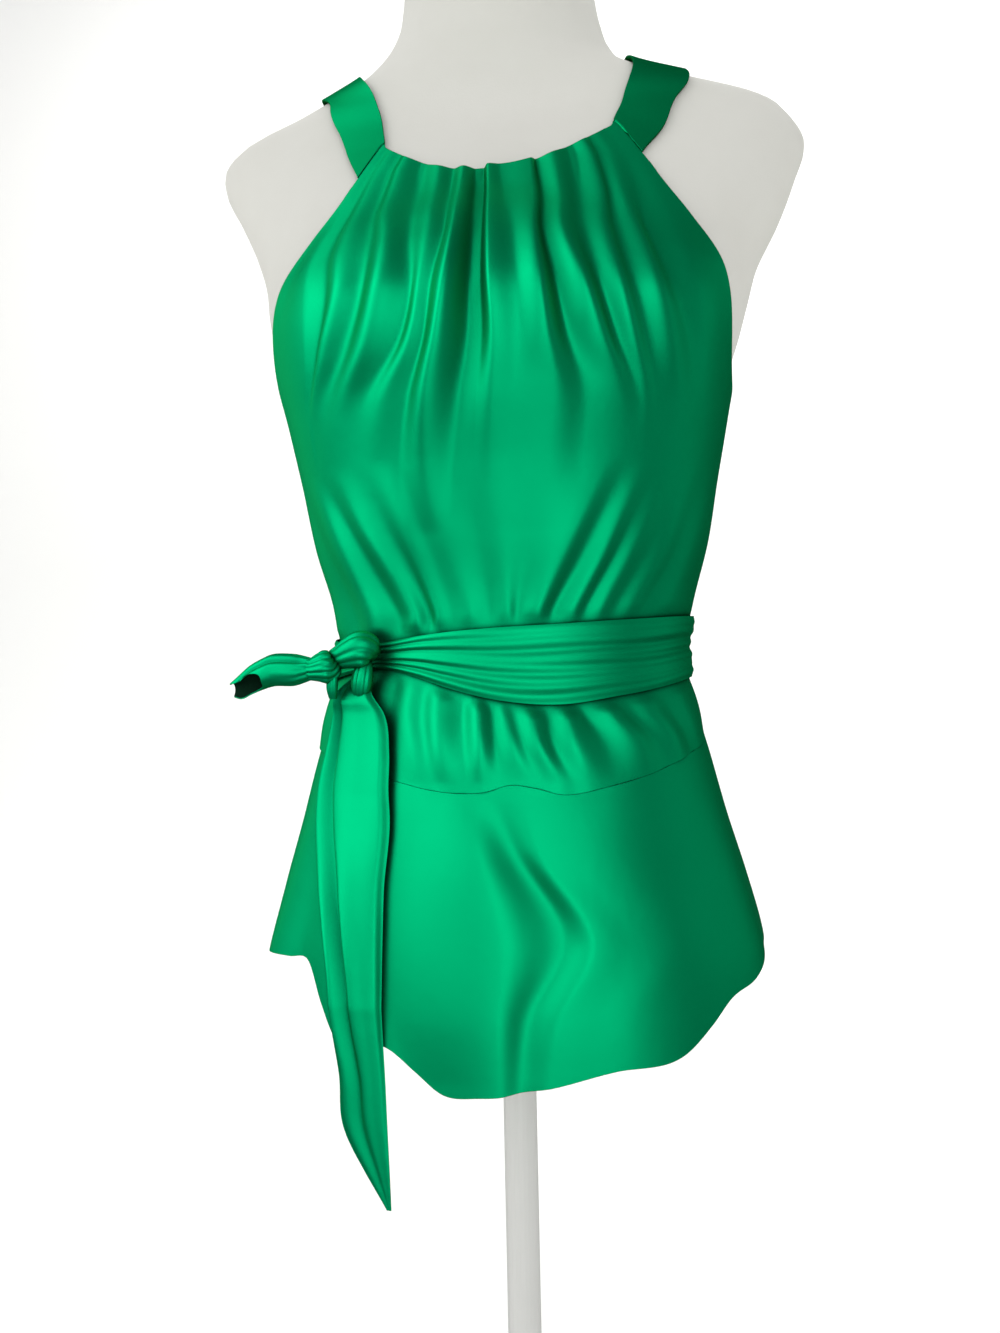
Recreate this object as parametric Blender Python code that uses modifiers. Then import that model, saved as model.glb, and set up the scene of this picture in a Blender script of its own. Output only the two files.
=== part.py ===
"""Sleeveless halter-neck blouse of green satin on a smooth limbless dress form.

The gathered front hangs from a neckband, a sash is tied at the wearer's right side, and a flared
hem panel with rounded tails is sewn on at the hip. Metres, +Z up. The front faces -Y, the wearer's
right side is -X, and the origin is the middle of the stand's underside.
Angles are in degrees round the upright axis: 0 at the centre front, 90 at the wearer's left side.
"""

import math

import bpy
import numpy as np

# Driving sizes
SATIN = 0.0016  # wall of one layer of cloth with its turnings
BAND_WALL = 0.0022  # the neckband is two layers and a stiffening
SEAM_GAP = 0.0005  # air between two pieces at a seam
BAND_SEAM_TURN = 0.4  # degrees between the bodice's steep edge and the neckband's end
FORM_AIR = 0.0032  # least air from the form to the middle of the cloth
FORM_BLEND = 0.004  # how softly the cloth leaves the form
BAND_LIFT = 0.0026  # middle of the neckband above the form
SASH_LIFT = 0.0020 # middle of the sash above the bodice
TURN = 3.0  # degrees that the blouse sits turned on the form
SIDE_SEAM = 90.0  # angle of the side seams from the centre front
SEAM_RADIUS = 0.12  # mean distance of the side seams from the axis
FOLD_FADE = 0.014  # height over which a fold dies out past its ends
PRESSED_FLAT = 0.88  # share of a fold's height that the sash presses out of it
PRESSED_EDGE = 0.009  # height beyond the sash's edges over which that begins
FORM_BOTTOM = 0.430
BASE_RADIUS = 0.150
BASE_EDGE = 0.008
COLLAR_RADIUS = 0.020
COLLAR_TOP = 0.045
POLE_RADIUS = 0.0115
FLANGE_RADIUS = 0.032
FLANGE_HEIGHT = 0.012
AIR = 0.0004  # gap that touching solids keep

# Points along and across each piece's grid
FRONT_COLUMNS = (19, 4, 11)  # neckline, end of the neckband, armhole, for half of the front
BACK_COLUMNS = 24
BODICE_ROWS = (13, 3)  # above and below the sash
HEM_GRID = (44, 8)
BACK_HEM_GRID = (30, 7)
BAND_GRID = (44, 4)
SASH_GRID = (52, 7)
LOOP_GRID = (10, 14)
TAIL_GRID = (9, 26)
KNOT_STEPS = 16
FORM_STEPS = 36
POLE_STEPS = 24
BASE_STEPS = 40

# Dress form: height, half width at the wearer's right and left, front depth, back depth, squareness
FORM_SECTIONS = (
    (0.430, 0.1460, 0.1460, 0.104, 0.104, 2.3),
    (0.500, 0.1290, 0.1290, 0.098, 0.096, 2.3),
    (0.560, 0.1125, 0.1125, 0.089, 0.084, 2.3),
    (0.590, 0.1090, 0.1090, 0.086, 0.080, 2.3),
    (0.620, 0.1095, 0.1095, 0.087, 0.078, 2.3),
    (0.660, 0.1190, 0.1190, 0.094, 0.081, 2.3),
    (0.700, 0.1280, 0.1280, 0.103, 0.085, 2.3),
    (0.740, 0.1370, 0.1370, 0.117, 0.090, 2.3),
    (0.765, 0.1460, 0.1470, 0.124, 0.093, 2.3),
    (0.790, 0.1530, 0.1560, 0.126, 0.096, 2.3),
    (0.815, 0.1590, 0.1630, 0.116, 0.098, 2.3),
    (0.840, 0.1630, 0.1700, 0.102, 0.100, 2.3),
    (0.870, 0.1730, 0.1850, 0.084, 0.098, 2.4),
    (0.895, 0.1850, 0.1950, 0.070, 0.090, 2.4),
    (0.918, 0.1960, 0.2010, 0.058, 0.078, 2.4),
    (0.933, 0.1960, 0.1930, 0.052, 0.070, 2.4),
    (0.945, 0.1830, 0.1800, 0.050, 0.064, 2.3),
    (0.956, 0.1540, 0.1480, 0.049, 0.061, 2.2),
    (0.966, 0.1290, 0.1150, 0.050, 0.060, 2.1),
    (0.977, 0.1040, 0.0900, 0.051, 0.060, 2.0),
    (0.990, 0.0840, 0.0780, 0.053, 0.059, 2.0),
    (1.008, 0.0700, 0.0710, 0.055, 0.058, 2.0),
    (1.028, 0.0650, 0.0670, 0.056, 0.058, 2.0),
    (1.062, 0.0635, 0.0655, 0.056, 0.058, 2.0),
)

# Cloth with its folds left out: height, half width at the wearer's right and left, front depth, back
# depth, squareness
CLOTH_SECTIONS = (
    (0.330, 0.1690, 0.1690, 0.128, 0.127, 2.2),
    (0.380, 0.1660, 0.1660, 0.126, 0.124, 2.2),
    (0.400, 0.1640, 0.1640, 0.124, 0.121, 2.2),
    (0.440, 0.1540, 0.1540, 0.119, 0.116, 2.2),
    (0.480, 0.1420, 0.1420, 0.113, 0.109, 2.2),
    (0.520, 0.1310, 0.1318, 0.106, 0.099, 2.2),
    (0.560, 0.1190, 0.1210, 0.096, 0.088, 2.2),
    (0.590, 0.1145, 0.1170, 0.092, 0.084, 2.2),
    (0.620, 0.1175, 0.1232, 0.094, 0.084, 2.2),
    (0.660, 0.1290, 0.1338, 0.103, 0.088, 2.2),
    (0.700, 0.1370, 0.1406, 0.113, 0.091, 2.2),
    (0.740, 0.1450, 0.1478, 0.125, 0.096, 2.2),
    (0.760, 0.1490, 0.1510, 0.130, 0.099, 2.2),
    (0.780, 0.1520, 0.1530, 0.133, 0.101, 2.2),
    (0.800, 0.1540, 0.1540, 0.132, 0.102, 2.2),
    (0.820, 0.1540, 0.1540, 0.124, 0.103, 2.2),
    (0.840, 0.1500, 0.1500, 0.111, 0.100, 2.2),
    (0.880, 0.1390, 0.1390, 0.078, 0.092, 2.2),
    (0.930, 0.1190, 0.1190, 0.050, 0.080, 2.2),
)

# Each side of the neckline and armhole, from the centre front: share of the panel, angle, height
TOP_EDGE = (
    (0.00, 0.0, 0.8835),
    (0.15, 13.0, 0.8845),
    (0.32, 28.0, 0.8920),
    (0.46, 40.0, 0.9020),
    (0.58, 50.4, 0.9150),
    (0.64, 51.2, 0.8890),
    (0.68, 51.6, 0.8680),
    (0.74, 54.6, 0.8450),
    (0.81, 61.6, 0.8160),
    (0.87, 67.0, 0.7850),
    (0.93, 76.0, 0.7620),
    (1.00, 90.0, 0.7540),
)
# Shares of the top edge between which an end of the neckband is sewn on
BAND_SEAM = (0.58, 0.64)
# Where the same shares reach the hip seam
FOOT_ANGLES = ((0.00, 0.0), (0.30, 22.0), (0.58, 46.0), (0.70, 58.0), (1.00, 90.0))
FANNING = 2.2  # how soon below the top edge the gathers spread out to those angles

# Hip seam: angle, height. It runs on round the back
HIP_SEAM = (
    (-90.0, 0.534),
    (-55.0, 0.521),
    (-30.0, 0.512),
    (-20.0, 0.508),
    (-4.0, 0.507),
    (5.0, 0.511),
    (12.0, 0.509),
    (20.0, 0.505),
    (32.0, 0.508),
    (48.0, 0.515),
    (64.0, 0.524),
    (90.0, 0.534),
    (135.0, 0.532),
    (180.0, 0.530),
    (225.0, 0.532),
    (270.0, 0.534),
)

# Hem: angle, height. The front tail is long between its two rounded corners
FRONT_HEM = (
    (-90.0, 0.398),
    (-72.0, 0.399),
    (-60.0, 0.402),
    (-53.0, 0.403),
    (-46.0, 0.381),
    (-40.0, 0.361),
    (-29.0, 0.362),
    (-22.0, 0.350),
    (-15.0, 0.339),
    (-4.0, 0.339),
    (12.0, 0.344),
    (28.0, 0.352),
    (45.0, 0.357),
    (52.0, 0.369),
    (58.0, 0.380),
    (67.0, 0.386),
    (76.0, 0.396),
    (90.0, 0.400),
)
BACK_HEM = (
    (90.0, 0.400),
    (112.0, 0.391),
    (128.0, 0.368),
    (145.0, 0.350),
    (180.0, 0.343),
    (215.0, 0.350),
    (232.0, 0.367),
    (248.0, 0.389),
    (270.0, 0.398),
)
BACK_TOP = ((90.0, 0.754), (120.0, 0.746), (180.0, 0.738), (240.0, 0.746), (270.0, 0.754))

# Folds that stand out of the cloth. Each has a top, a middle and a foot as angle and height, a half
# width at top and foot and a height at top, middle and foot in millimetres, and how much wider its
# right slope is than its left
FOLDS = (
    # Gathers of the neckline
    (-48.0, 0.914, -45.0, 0.870, -50.0, 0.810, 3.5, 9.0, 2.0, 2.5, 0.0, 1.0),
    (-42.5, 0.906, -36.0, 0.845, -49.0, 0.762, 3.6, 10.0, 3.0, 6.0, 0.0, 1.3),
    (-36.0, 0.901, -31.5, 0.862, -30.0, 0.820, 3.2, 6.0, 2.8, 2.5, 0.0, 1.0),
    (-30.0, 0.896, -26.0, 0.825, -46.0, 0.740, 4.0, 11.0, 3.4, 7.5, 0.0, 1.4),
    (-22.5, 0.890, -20.0, 0.850, -19.0, 0.800, 3.5, 7.0, 3.2, 3.0, 0.0, 1.0),
    (-16.0, 0.887, -13.5, 0.800, -22.0, 0.700, 3.5, 14.0, 4.4, 11.0, 0.5, 0.6),
    (-20.0, 0.805, -25.0, 0.765, -34.0, 0.728, 6.0, 9.0, 0.0, 5.0, 0.0, 1.2),
    (-9.0, 0.885, -7.0, 0.852, -6.0, 0.810, 3.2, 5.0, 3.0, 2.0, 0.0, 1.0),
    (1.0, 0.886, 3.5, 0.815, 3.0, 0.735, 2.4, 12.0, 4.8, 7.5, 0.0, 2.2),
    (8.5, 0.886, 9.0, 0.845, 10.0, 0.790, 3.2, 7.0, 2.8, 2.0, 0.0, 1.0),
    (15.0, 0.888, 19.0, 0.825, 31.0, 0.742, 3.6, 10.0, 3.6, 7.5, 0.0, 1.5),
    (21.5, 0.890, 22.5, 0.860, 23.0, 0.820, 3.0, 6.0, 2.8, 2.0, 0.0, 1.0),
    (26.5, 0.893, 30.0, 0.830, 42.0, 0.742, 3.6, 10.0, 3.4, 7.0, 0.0, 1.5),
    (32.5, 0.898, 33.0, 0.865, 34.0, 0.830, 3.0, 6.0, 2.6, 2.0, 0.0, 1.0),
    (37.5, 0.902, 38.0, 0.845, 50.0, 0.748, 3.6, 10.0, 3.2, 6.0, 0.0, 1.4),
    (43.0, 0.908, 42.5, 0.875, 43.0, 0.840, 3.0, 6.0, 2.4, 1.5, 0.0, 1.0),
    (48.0, 0.914, 47.0, 0.865, 56.0, 0.780, 3.4, 9.0, 2.4, 3.5, 0.0, 1.2),
    # Drag lines towards the knot and gathers above the sash
    (-64.0, 0.700, -55.0, 0.655, -46.0, 0.612, 9.0, 6.0, 0.0, 4.5, 3.5, 1.0),
    (-54.0, 0.702, -44.0, 0.655, -35.0, 0.612, 8.0, 5.0, 0.0, 5.0, 3.5, 1.0),
    (-38.0, 0.690, -31.0, 0.648, -25.0, 0.614, 8.0, 5.0, 0.0, 5.0, 3.5, 1.0),
    (-13.0, 0.665, -11.0, 0.640, -10.0, 0.616, 7.0, 4.0, 0.0, 2.0, 2.5, 1.0),
    (1.0, 0.665, 1.0, 0.642, 1.0, 0.618, 7.0, 4.0, 0.0, 2.5, 2.5, 1.0),
    (10.0, 0.675, 10.0, 0.644, 11.0, 0.618, 8.0, 4.0, 0.0, 2.0, 2.5, 1.0),
    (37.0, 0.688, 27.0, 0.648, 20.0, 0.619, 10.0, 5.0, 0.0, 5.5, 3.5, 1.2),
    (44.0, 0.684, 35.0, 0.650, 29.0, 0.620, 9.0, 5.0, 0.0, 4.5, 3.0, 1.2),
    (52.0, 0.668, 45.0, 0.642, 40.0, 0.621, 9.0, 5.0, 0.0, 3.0, 2.5, 1.0),
    (62.0, 0.668, 57.0, 0.642, 54.0, 0.623, 9.0, 5.0, 0.0, 2.5, 2.0, 1.0),
    # Gathers between the sash and the hip seam
    (-60.0, 0.566, -60.0, 0.550, -58.0, 0.528, 6.0, 10.0, 2.5, 3.0, 0.5, 1.0),
    (-43.0, 0.566, -43.0, 0.544, -41.0, 0.520, 6.0, 9.0, 3.0, 3.5, 0.5, 1.0),
    (-28.0, 0.562, -27.0, 0.540, -23.0, 0.514, 6.0, 12.0, 3.0, 4.0, 0.5, 1.0),
    (-13.0, 0.556, -13.0, 0.536, -11.0, 0.512, 6.0, 10.0, 2.5, 3.0, 0.5, 1.0),
    (0.5, 0.548, 2.5, 0.534, 6.0, 0.516, 5.0, 8.0, 2.5, 3.0, 0.4, 1.0),
    (11.0, 0.546, 15.0, 0.532, 18.5, 0.514, 4.0, 6.0, 2.5, 3.0, 0.4, 1.0),
    (23.0, 0.546, 25.0, 0.532, 28.0, 0.514, 5.0, 7.0, 2.5, 3.0, 0.4, 1.0),
    (36.0, 0.548, 38.0, 0.536, 41.0, 0.518, 6.0, 9.0, 2.5, 3.0, 0.4, 1.0),
    (52.0, 0.552, 54.0, 0.540, 56.0, 0.524, 6.0, 9.0, 2.0, 2.0, 0.4, 1.0),
    # Waves of the flared front hem
    (-66.0, 0.500, -67.0, 0.450, -68.0, 0.400, 9.0, 15.0, 0.5, 3.5, 6.5, 1.0),
    (-40.0, 0.500, -38.0, 0.440, -36.0, 0.370, 9.0, 18.0, 0.5, 3.0, 5.0, 1.0),
    (-12.0, 0.500, -9.0, 0.440, -3.0, 0.345, 9.0, 20.0, 0.5, 5.5, 7.0, 1.0),
    (9.0, 0.500, 15.0, 0.440, 27.0, 0.360, 9.0, 20.0, 0.5, 5.0, 7.0, 1.0),
    (40.0, 0.500, 43.0, 0.440, 46.0, 0.360, 10.0, 16.0, 0.5, 4.0, 7.0, 1.0),
    (66.0, 0.500, 69.0, 0.440, 72.0, 0.385, 10.0, 16.0, 0.5, 3.0, 5.0, 1.0),
    # Soft folds of the plain back
    (118.0, 0.735, 128.0, 0.680, 140.0, 0.622, 12.0, 7.0, 0.0, 2.5, 2.5, 1.0),
    (152.0, 0.700, 157.0, 0.660, 160.0, 0.622, 11.0, 6.0, 0.0, 2.5, 2.5, 1.0),
    (181.0, 0.690, 180.0, 0.656, 179.0, 0.621, 10.0, 6.0, 0.0, 2.0, 2.5, 1.0),
    (209.0, 0.705, 204.0, 0.662, 198.0, 0.620, 12.0, 6.0, 0.0, 2.8, 2.5, 1.0),
    (243.0, 0.735, 233.0, 0.675, 221.0, 0.619, 12.0, 7.0, 0.0, 2.5, 2.5, 1.0),
    (128.0, 0.560, 127.0, 0.550, 125.0, 0.538, 7.0, 11.0, 2.0, 2.5, 0.4, 1.0),
    (158.0, 0.558, 160.0, 0.548, 163.0, 0.536, 7.0, 11.0, 2.0, 2.5, 0.4, 1.0),
    (187.0, 0.558, 188.0, 0.548, 190.0, 0.536, 6.0, 10.0, 2.0, 2.0, 0.4, 1.0),
    (214.0, 0.558, 213.0, 0.548, 211.0, 0.537, 7.0, 11.0, 2.0, 2.5, 0.4, 1.0),
    (243.0, 0.560, 244.0, 0.550, 246.0, 0.539, 6.0, 10.0, 2.0, 2.0, 0.4, 1.0),
    # Waves of the flared back hem
    (106.0, 0.510, 105.0, 0.450, 104.0, 0.392, 10.0, 17.0, 0.5, 4.0, 7.0, 1.0),
    (136.0, 0.505, 138.0, 0.440, 141.0, 0.360, 10.0, 20.0, 0.5, 4.5, 7.0, 1.0),
    (169.0, 0.505, 170.0, 0.440, 172.0, 0.345, 10.0, 19.0, 0.5, 4.0, 6.0, 1.0),
    (199.0, 0.505, 200.0, 0.440, 203.0, 0.350, 10.0, 20.0, 0.5, 4.5, 7.0, 1.0),
    (229.0, 0.508, 231.0, 0.445, 233.0, 0.370, 10.0, 17.0, 0.5, 4.0, 6.5, 1.0),
    (259.0, 0.510, 259.0, 0.455, 258.0, 0.396, 10.0, 16.0, 0.5, 4.0, 7.0, 1.0),
)

# Halves of the neckband on the form, from the front end at the wearer's left or right to the nape:
# share, inner edge angle and height, outer edge angle and height
NECKBAND_LEFT = (
    (0.00, 50.4, 0.9160, 51.2, 0.8900),
    (0.10, 56.4, 0.9305, 60.0, 0.9120),
    (0.20, 61.0, 0.9490, 67.0, 0.9390),
    (0.30, 67.0, 0.9650, 74.5, 0.9600),
    (0.40, 78.0, 0.9780, 85.0, 0.9675),
    (0.50, 94.0, 0.9860, 97.0, 0.9690),
    (0.66, 122.0, 0.9940, 123.0, 0.9690),
    (0.83, 150.0, 0.9960, 151.0, 0.9660),
    (1.00, 180.0, 0.9970, 180.0, 0.9640),
)
NECKBAND_RIGHT = (
    (0.00, 50.6, 0.9165, 51.2, 0.8890),
    (0.10, 56.2, 0.9315, 60.4, 0.9105),
    (0.20, 61.2, 0.9500, 67.4, 0.9320),
    (0.30, 67.0, 0.9655, 74.0, 0.9560),
    (0.40, 78.0, 0.9780, 85.0, 0.9675),
    (0.50, 94.0, 0.9860, 97.0, 0.9690),
    (0.66, 122.0, 0.9940, 123.0, 0.9690),
    (0.83, 150.0, 0.9960, 151.0, 0.9660),
    (1.00, 180.0, 0.9970, 180.0, 0.9640),
)
ON_BODICE = 0.16  # share of the half band over which it passes from the bodice's surface to the form's
SEAM_SHAPED = 0.06  # share over which its rows turn to lie along the seam

# Sash round the waist: angle, height of its top and bottom edges. It closes on itself under the knot
SASH = (
    (-52.0, 0.5950, 0.5790),
    (-41.0, 0.5960, 0.5800),
    (-29.0, 0.5990, 0.5750),
    (-18.0, 0.6010, 0.5685),
    (0.0, 0.6030, 0.5605),
    (22.0, 0.6045, 0.5570),
    (42.0, 0.6065, 0.5615),
    (75.0, 0.6100, 0.5700),
    (120.0, 0.6120, 0.5720),
    (180.0, 0.6100, 0.5690),
    (240.0, 0.6060, 0.5680),
    (275.0, 0.6010, 0.5710),
    (308.0, 0.5950, 0.5790),
)
# Lengthwise folds of the sash: place across it, half width, both as shares of its width, and height
SASH_FOLDS = ((0.10, 0.10, 0.0014), (0.38, 0.14, 0.0028), (0.70, 0.13, 0.0024), (0.95, 0.08, 0.0012))

# Knot: height, shift along the waist, half length along the waist and half depth of each level
KNOT_CENTRE = (-0.0826, -0.0896)
KNOT_ANGLE = -40.5
KNOT_LEVELS = (
    (0.5672, 0.0086, 0.0050, 0.0040),
    (0.5705, 0.0086, 0.0080, 0.0066),
    (0.5750, 0.0076, 0.0090, 0.0070),
    (0.5790, 0.0050, 0.0100, 0.0072),
    (0.5825, 0.0022, 0.0150, 0.0090),
    (0.5865, 0.0014, 0.0176, 0.0104),
    (0.5910, 0.0026, 0.0170, 0.0106),
    (0.5955, 0.0062, 0.0140, 0.0096),
    (0.6000, 0.0105, 0.0090, 0.0074),
    (0.6035, 0.0130, 0.0045, 0.0040),
)
# Throat that the loop leaves the knot by: height, shift, half length and half depth of each level
THROAT_CENTRE = (-0.1027, -0.0873)
THROAT_ANGLE = -12.0
THROAT_LEVELS = (
    (0.5740, 0.0010, 0.0030, 0.0032),
    (0.5765, 0.0006, 0.0052, 0.0056),
    (0.5810, 0.0000, 0.0062, 0.0070),
    (0.5860, -0.0002, 0.0062, 0.0072),
    (0.5905, 0.0000, 0.0052, 0.0058),
    (0.5930, 0.0008, 0.0030, 0.0034),
)
# Loop from the throat to its open end: centre x, y, z, half height, half thickness
LOOP = (
    (-0.1098, -0.0914, 0.5812, 0.0080, 0.0036),
    (-0.1165, -0.0935, 0.5815, 0.0086, 0.0050),
    (-0.1250, -0.0960, 0.5818, 0.0100, 0.0068),
    (-0.1350, -0.0980, 0.5800, 0.0103, 0.0076),
    (-0.1450, -0.0990, 0.5760, 0.0098, 0.0074),
    (-0.1535, -0.0995, 0.5710, 0.0085, 0.0066),
    (-0.1600, -0.0990, 0.5670, 0.0060, 0.0052),
)
LOOP_NEAR_CUT = 0.32  # how far back the near wall is cut at the open end, as a share of the length
LOOP_CUT_TURN = 0.6  # radians from the side to the middle of that cut, downwards

# Hanging end of the sash over the skirt: height, angle and lift in millimetres of its left edge,
# and of its right edge
TAIL = (
    (0.5667, -52.0, 15.0, -40.5, 12.0),
    (0.5530, -54.5, 11.0, -36.0, 9.0),
    (0.5290, -57.0, 6.0, -33.0, 6.0),
    (0.5060, -58.0, 4.5, -32.0, 4.5),
    (0.4930, -57.5, 4.0, -31.0, 4.0),
    (0.4500, -51.0, 4.0, -30.5, 4.0),
    (0.4290, -47.0, 4.0, -30.0, 4.0),
    (0.4050, -43.5, 4.0, -29.5, 4.0),
    (0.3700, -41.0, 4.0, -29.0, 4.0),
    (0.3450, -39.2, 4.0, -28.6, 4.0),
    (0.3150, -38.4, 4.0, -28.3, 4.0),
    (0.2900, -33.6, 4.0, -28.0, 4.0),
    (0.2690, -28.8, 4.0, -27.8, 4.0),
)
TAIL_HANGS = 0.385  # height below which the hanging end falls straight instead of on the skirt
TAIL_FULL = 0.030  # width at which its folds have their full height
# Lengthwise folds of the hanging end: place across at top and foot, half width, height
TAIL_FOLDS = ((0.12, 0.15, 0.14, 0.0040), (0.72, 0.78, 0.16, 0.0060))

GREEN = (0.0, 0.37, 0.13, 1.0)
GREEN_DARK = (0.0, 0.25, 0.08, 1.0)
FORM_WHITE = (0.71, 0.69, 0.65, 1.0)
STAND_WHITE = (0.66, 0.66, 0.64, 1.0)


def clear_scene():
    for thing in list(bpy.data.objects):
        bpy.data.objects.remove(thing, do_unlink=True)


def new_collection(name):
    made = bpy.data.collections.new(name)
    bpy.context.scene.collection.children.link(made)
    return made


def new_material(name, colour, roughness):
    made = bpy.data.materials.new(name)
    made.use_nodes = True
    shader = made.node_tree.nodes["Principled BSDF"]
    shader.inputs["Base Color"].default_value = colour
    shader.inputs["Roughness"].default_value = roughness
    return made


def smooth(share):
    """0 to 1 with level ends."""
    share = np.clip(share, 0, 1)
    return share * share * (3 - 2 * share)


def through(table, at):
    """Each further column of a table at places of its first column, on a smooth line through the rows."""
    rows = np.asarray(table, float)
    place, values = rows[:, 0], rows[:, 1:]
    slope = np.gradient(values, place, axis=0)
    at = np.clip(np.asarray(at, float), place[0], place[-1])
    row = np.clip(np.searchsorted(place, at, side="right") - 1, 0, len(place) - 2)
    step = (place[row + 1] - place[row])[..., None]
    part = (at - place[row])[..., None] / step
    start = values[row] * (2 * part**3 - 3 * part**2 + 1)
    start_slope = slope[row] * step * (part**3 - 2 * part**2 + part)
    end = values[row + 1] * (3 * part**2 - 2 * part**3)
    end_slope = slope[row + 1] * step * (part**3 - part**2)
    return np.moveaxis(start + start_slope + end + end_slope, -1, 0)


def section_radius(sections, angle, height):
    """Distance from the axis to a section that is a rounded oval with its own depth on each side."""
    *widths, front, back, square = through(sections, height)
    turn = np.radians(angle)
    wide = np.where(np.sin(turn) > 0, widths[-1], widths[0])
    deep = np.where(np.cos(turn) > 0, front, back)
    across = (np.abs(np.sin(turn)) / wide) ** square
    along = (np.abs(np.cos(turn)) / deep) ** square
    return (across + along) ** (-1 / square)


def fold_height(angle, height):
    """How far the folds stand out of the cloth at an angle of the blouse and a height."""
    out = np.zeros(np.broadcast(angle, height).shape)
    for row in FOLDS:
        top, top_z, middle, middle_z, foot, foot_z, top_width, foot_width, *rise, lean = row
        heights = (foot_z, middle_z, top_z)
        (centre,) = through(list(zip(heights, (foot, middle, top))), height)
        (raised,) = through(list(zip(heights, reversed(rise))), height)
        share = np.clip((top_z - height) / (top_z - foot_z), 0, 1)
        width = (top_width + (foot_width - top_width) * share) / 1000
        radius = section_radius(CLOTH_SECTIONS, centre, height)
        away = np.radians((angle - centre + 180) % 360 - 180) * radius
        width = width * np.where(away > 0, lean, 1.0)
        past = np.maximum(np.maximum(height - top_z, foot_z - height), 0)
        fade = np.exp(-((past / FOLD_FADE) ** 2))
        out = out + np.maximum(raised, 0) / 1000 * np.exp(-((away / width) ** 2)) * fade
    return out


def sash_edges(angle):
    start = SASH[0][0]
    return through(SASH, (angle - start) % 360 + start)


def sash_cover(angle, height):
    """1 under the sash, where it presses the folds flat, falling to 0 just outside its edges."""
    top, bottom = sash_edges(angle)
    inside = np.minimum(top - height, height - bottom)
    return smooth(inside / PRESSED_EDGE + 1)


def cloth_point(angle, height, lift=0.0, folded=True):
    """Points of the blouse, an angle of the blouse and a height each, moved out by lift."""
    world = angle + TURN
    on_form = section_radius(FORM_SECTIONS, world, height) + FORM_AIR
    own = section_radius(CLOTH_SECTIONS, angle, height)
    radius = (on_form + own + np.sqrt((on_form - own) ** 2 + FORM_BLEND**2)) / 2 + lift
    if folded:
        left_over = 1 - PRESSED_FLAT * sash_cover(angle, height)
        radius = radius + fold_height(angle, height) * left_over
    turn = np.radians(world)
    return np.stack([radius * np.sin(turn), -radius * np.cos(turn), height + 0 * radius], -1)


def form_point(angle, height, lift=0.0):
    """Points of the dress form, lifted off it along its normal."""
    small = 0.5

    def at(turn_angle, up):
        radius = section_radius(FORM_SECTIONS, turn_angle, up)
        turn = np.radians(turn_angle)
        return np.stack([radius * np.sin(turn), -radius * np.cos(turn), up + 0 * radius], -1)

    round_it = at(angle + small, height) - at(angle - small, height)
    upwards = at(angle, height + small / 1000) - at(angle, height - small / 1000)
    normal = np.cross(round_it, upwards)
    normal /= np.linalg.norm(normal, axis=-1, keepdims=True)
    return at(angle, height) + normal * lift


def link_mesh(name, points, edges, faces, material, collection):
    mesh = bpy.data.meshes.new(name)
    mesh.from_pydata([tuple(p) for p in points], edges, faces)
    mesh.validate()
    mesh.materials.append(material)
    mesh.shade_smooth()
    piece = bpy.data.objects.new(name, mesh)
    collection.objects.link(piece)
    return piece


def grid_faces(rows, columns, round_columns=False):
    """Quads of a grid of points, closed from its last column to its first if round_columns."""
    faces = []
    for i in range(rows - 1):
        for j in range(columns if round_columns else columns - 1):
            beside = (j + 1) % columns
            below = (i + 1) * columns
            faces.append((i * columns + j, below + j, below + beside, i * columns + beside))
    return faces


def cloth_sheet(name, points, wall, material, collection, round_columns=False):
    """An open sheet through a grid of points, given its wall by Solidify on both sides."""
    rows, columns = points.shape[:2]
    faces = grid_faces(rows, columns, round_columns)
    piece = link_mesh(name, points.reshape(-1, 3), [], faces, material, collection)
    solid = piece.modifiers.new("wall", "SOLIDIFY")
    solid.thickness = wall
    solid.offset = 0.0
    return piece


def stacked(name, rings, material, collection):
    """A closed body through level rings of points, from the lowest up, flat at both ends."""
    rows, steps = rings.shape[:2]
    faces = [face[::-1] for face in grid_faces(rows, steps, round_columns=True)]
    faces.append(tuple(range(steps))[::-1])
    faces.append(tuple(range((rows - 1) * steps, rows * steps)))
    return link_mesh(name, rings.reshape(-1, 3), [], faces, material, collection)


def turned(name, profile, material, collection, steps):
    """A profile of radius and height, top to bottom down its outer side, spun round the axis."""
    points = [(radius, 0.0, height) for radius, height in profile]
    edges = [(i, i + 1) for i in range(len(points) - 1)]
    piece = link_mesh(name, points, edges, [], material, collection)
    spin = piece.modifiers.new("turned", "SCREW")
    spin.steps = steps
    spin.render_steps = steps
    spin.use_merge_vertices = True
    spin.merge_threshold = 0.0001
    return piece


def bundle(name, centre, angle, levels, material, collection):
    """Cloth drawn together: level ovals, each shifted along the waist, turned to face out at an angle."""
    turn = math.radians(angle)
    along = np.array([math.cos(turn), math.sin(turn), 0.0])
    out = np.array([math.sin(turn), -math.cos(turn), 0.0])
    round_it = np.linspace(0, 2 * math.pi, KNOT_STEPS, endpoint=False)
    rings = []
    for height, shift, half_length, half_depth in levels:
        middle = np.array([*centre, height]) + along * shift
        sideways = along * half_length * np.cos(round_it)[:, None]
        rings.append(middle + sideways - out * half_depth * np.sin(round_it)[:, None])
    return stacked(name, np.array(rings), material, collection)


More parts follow.
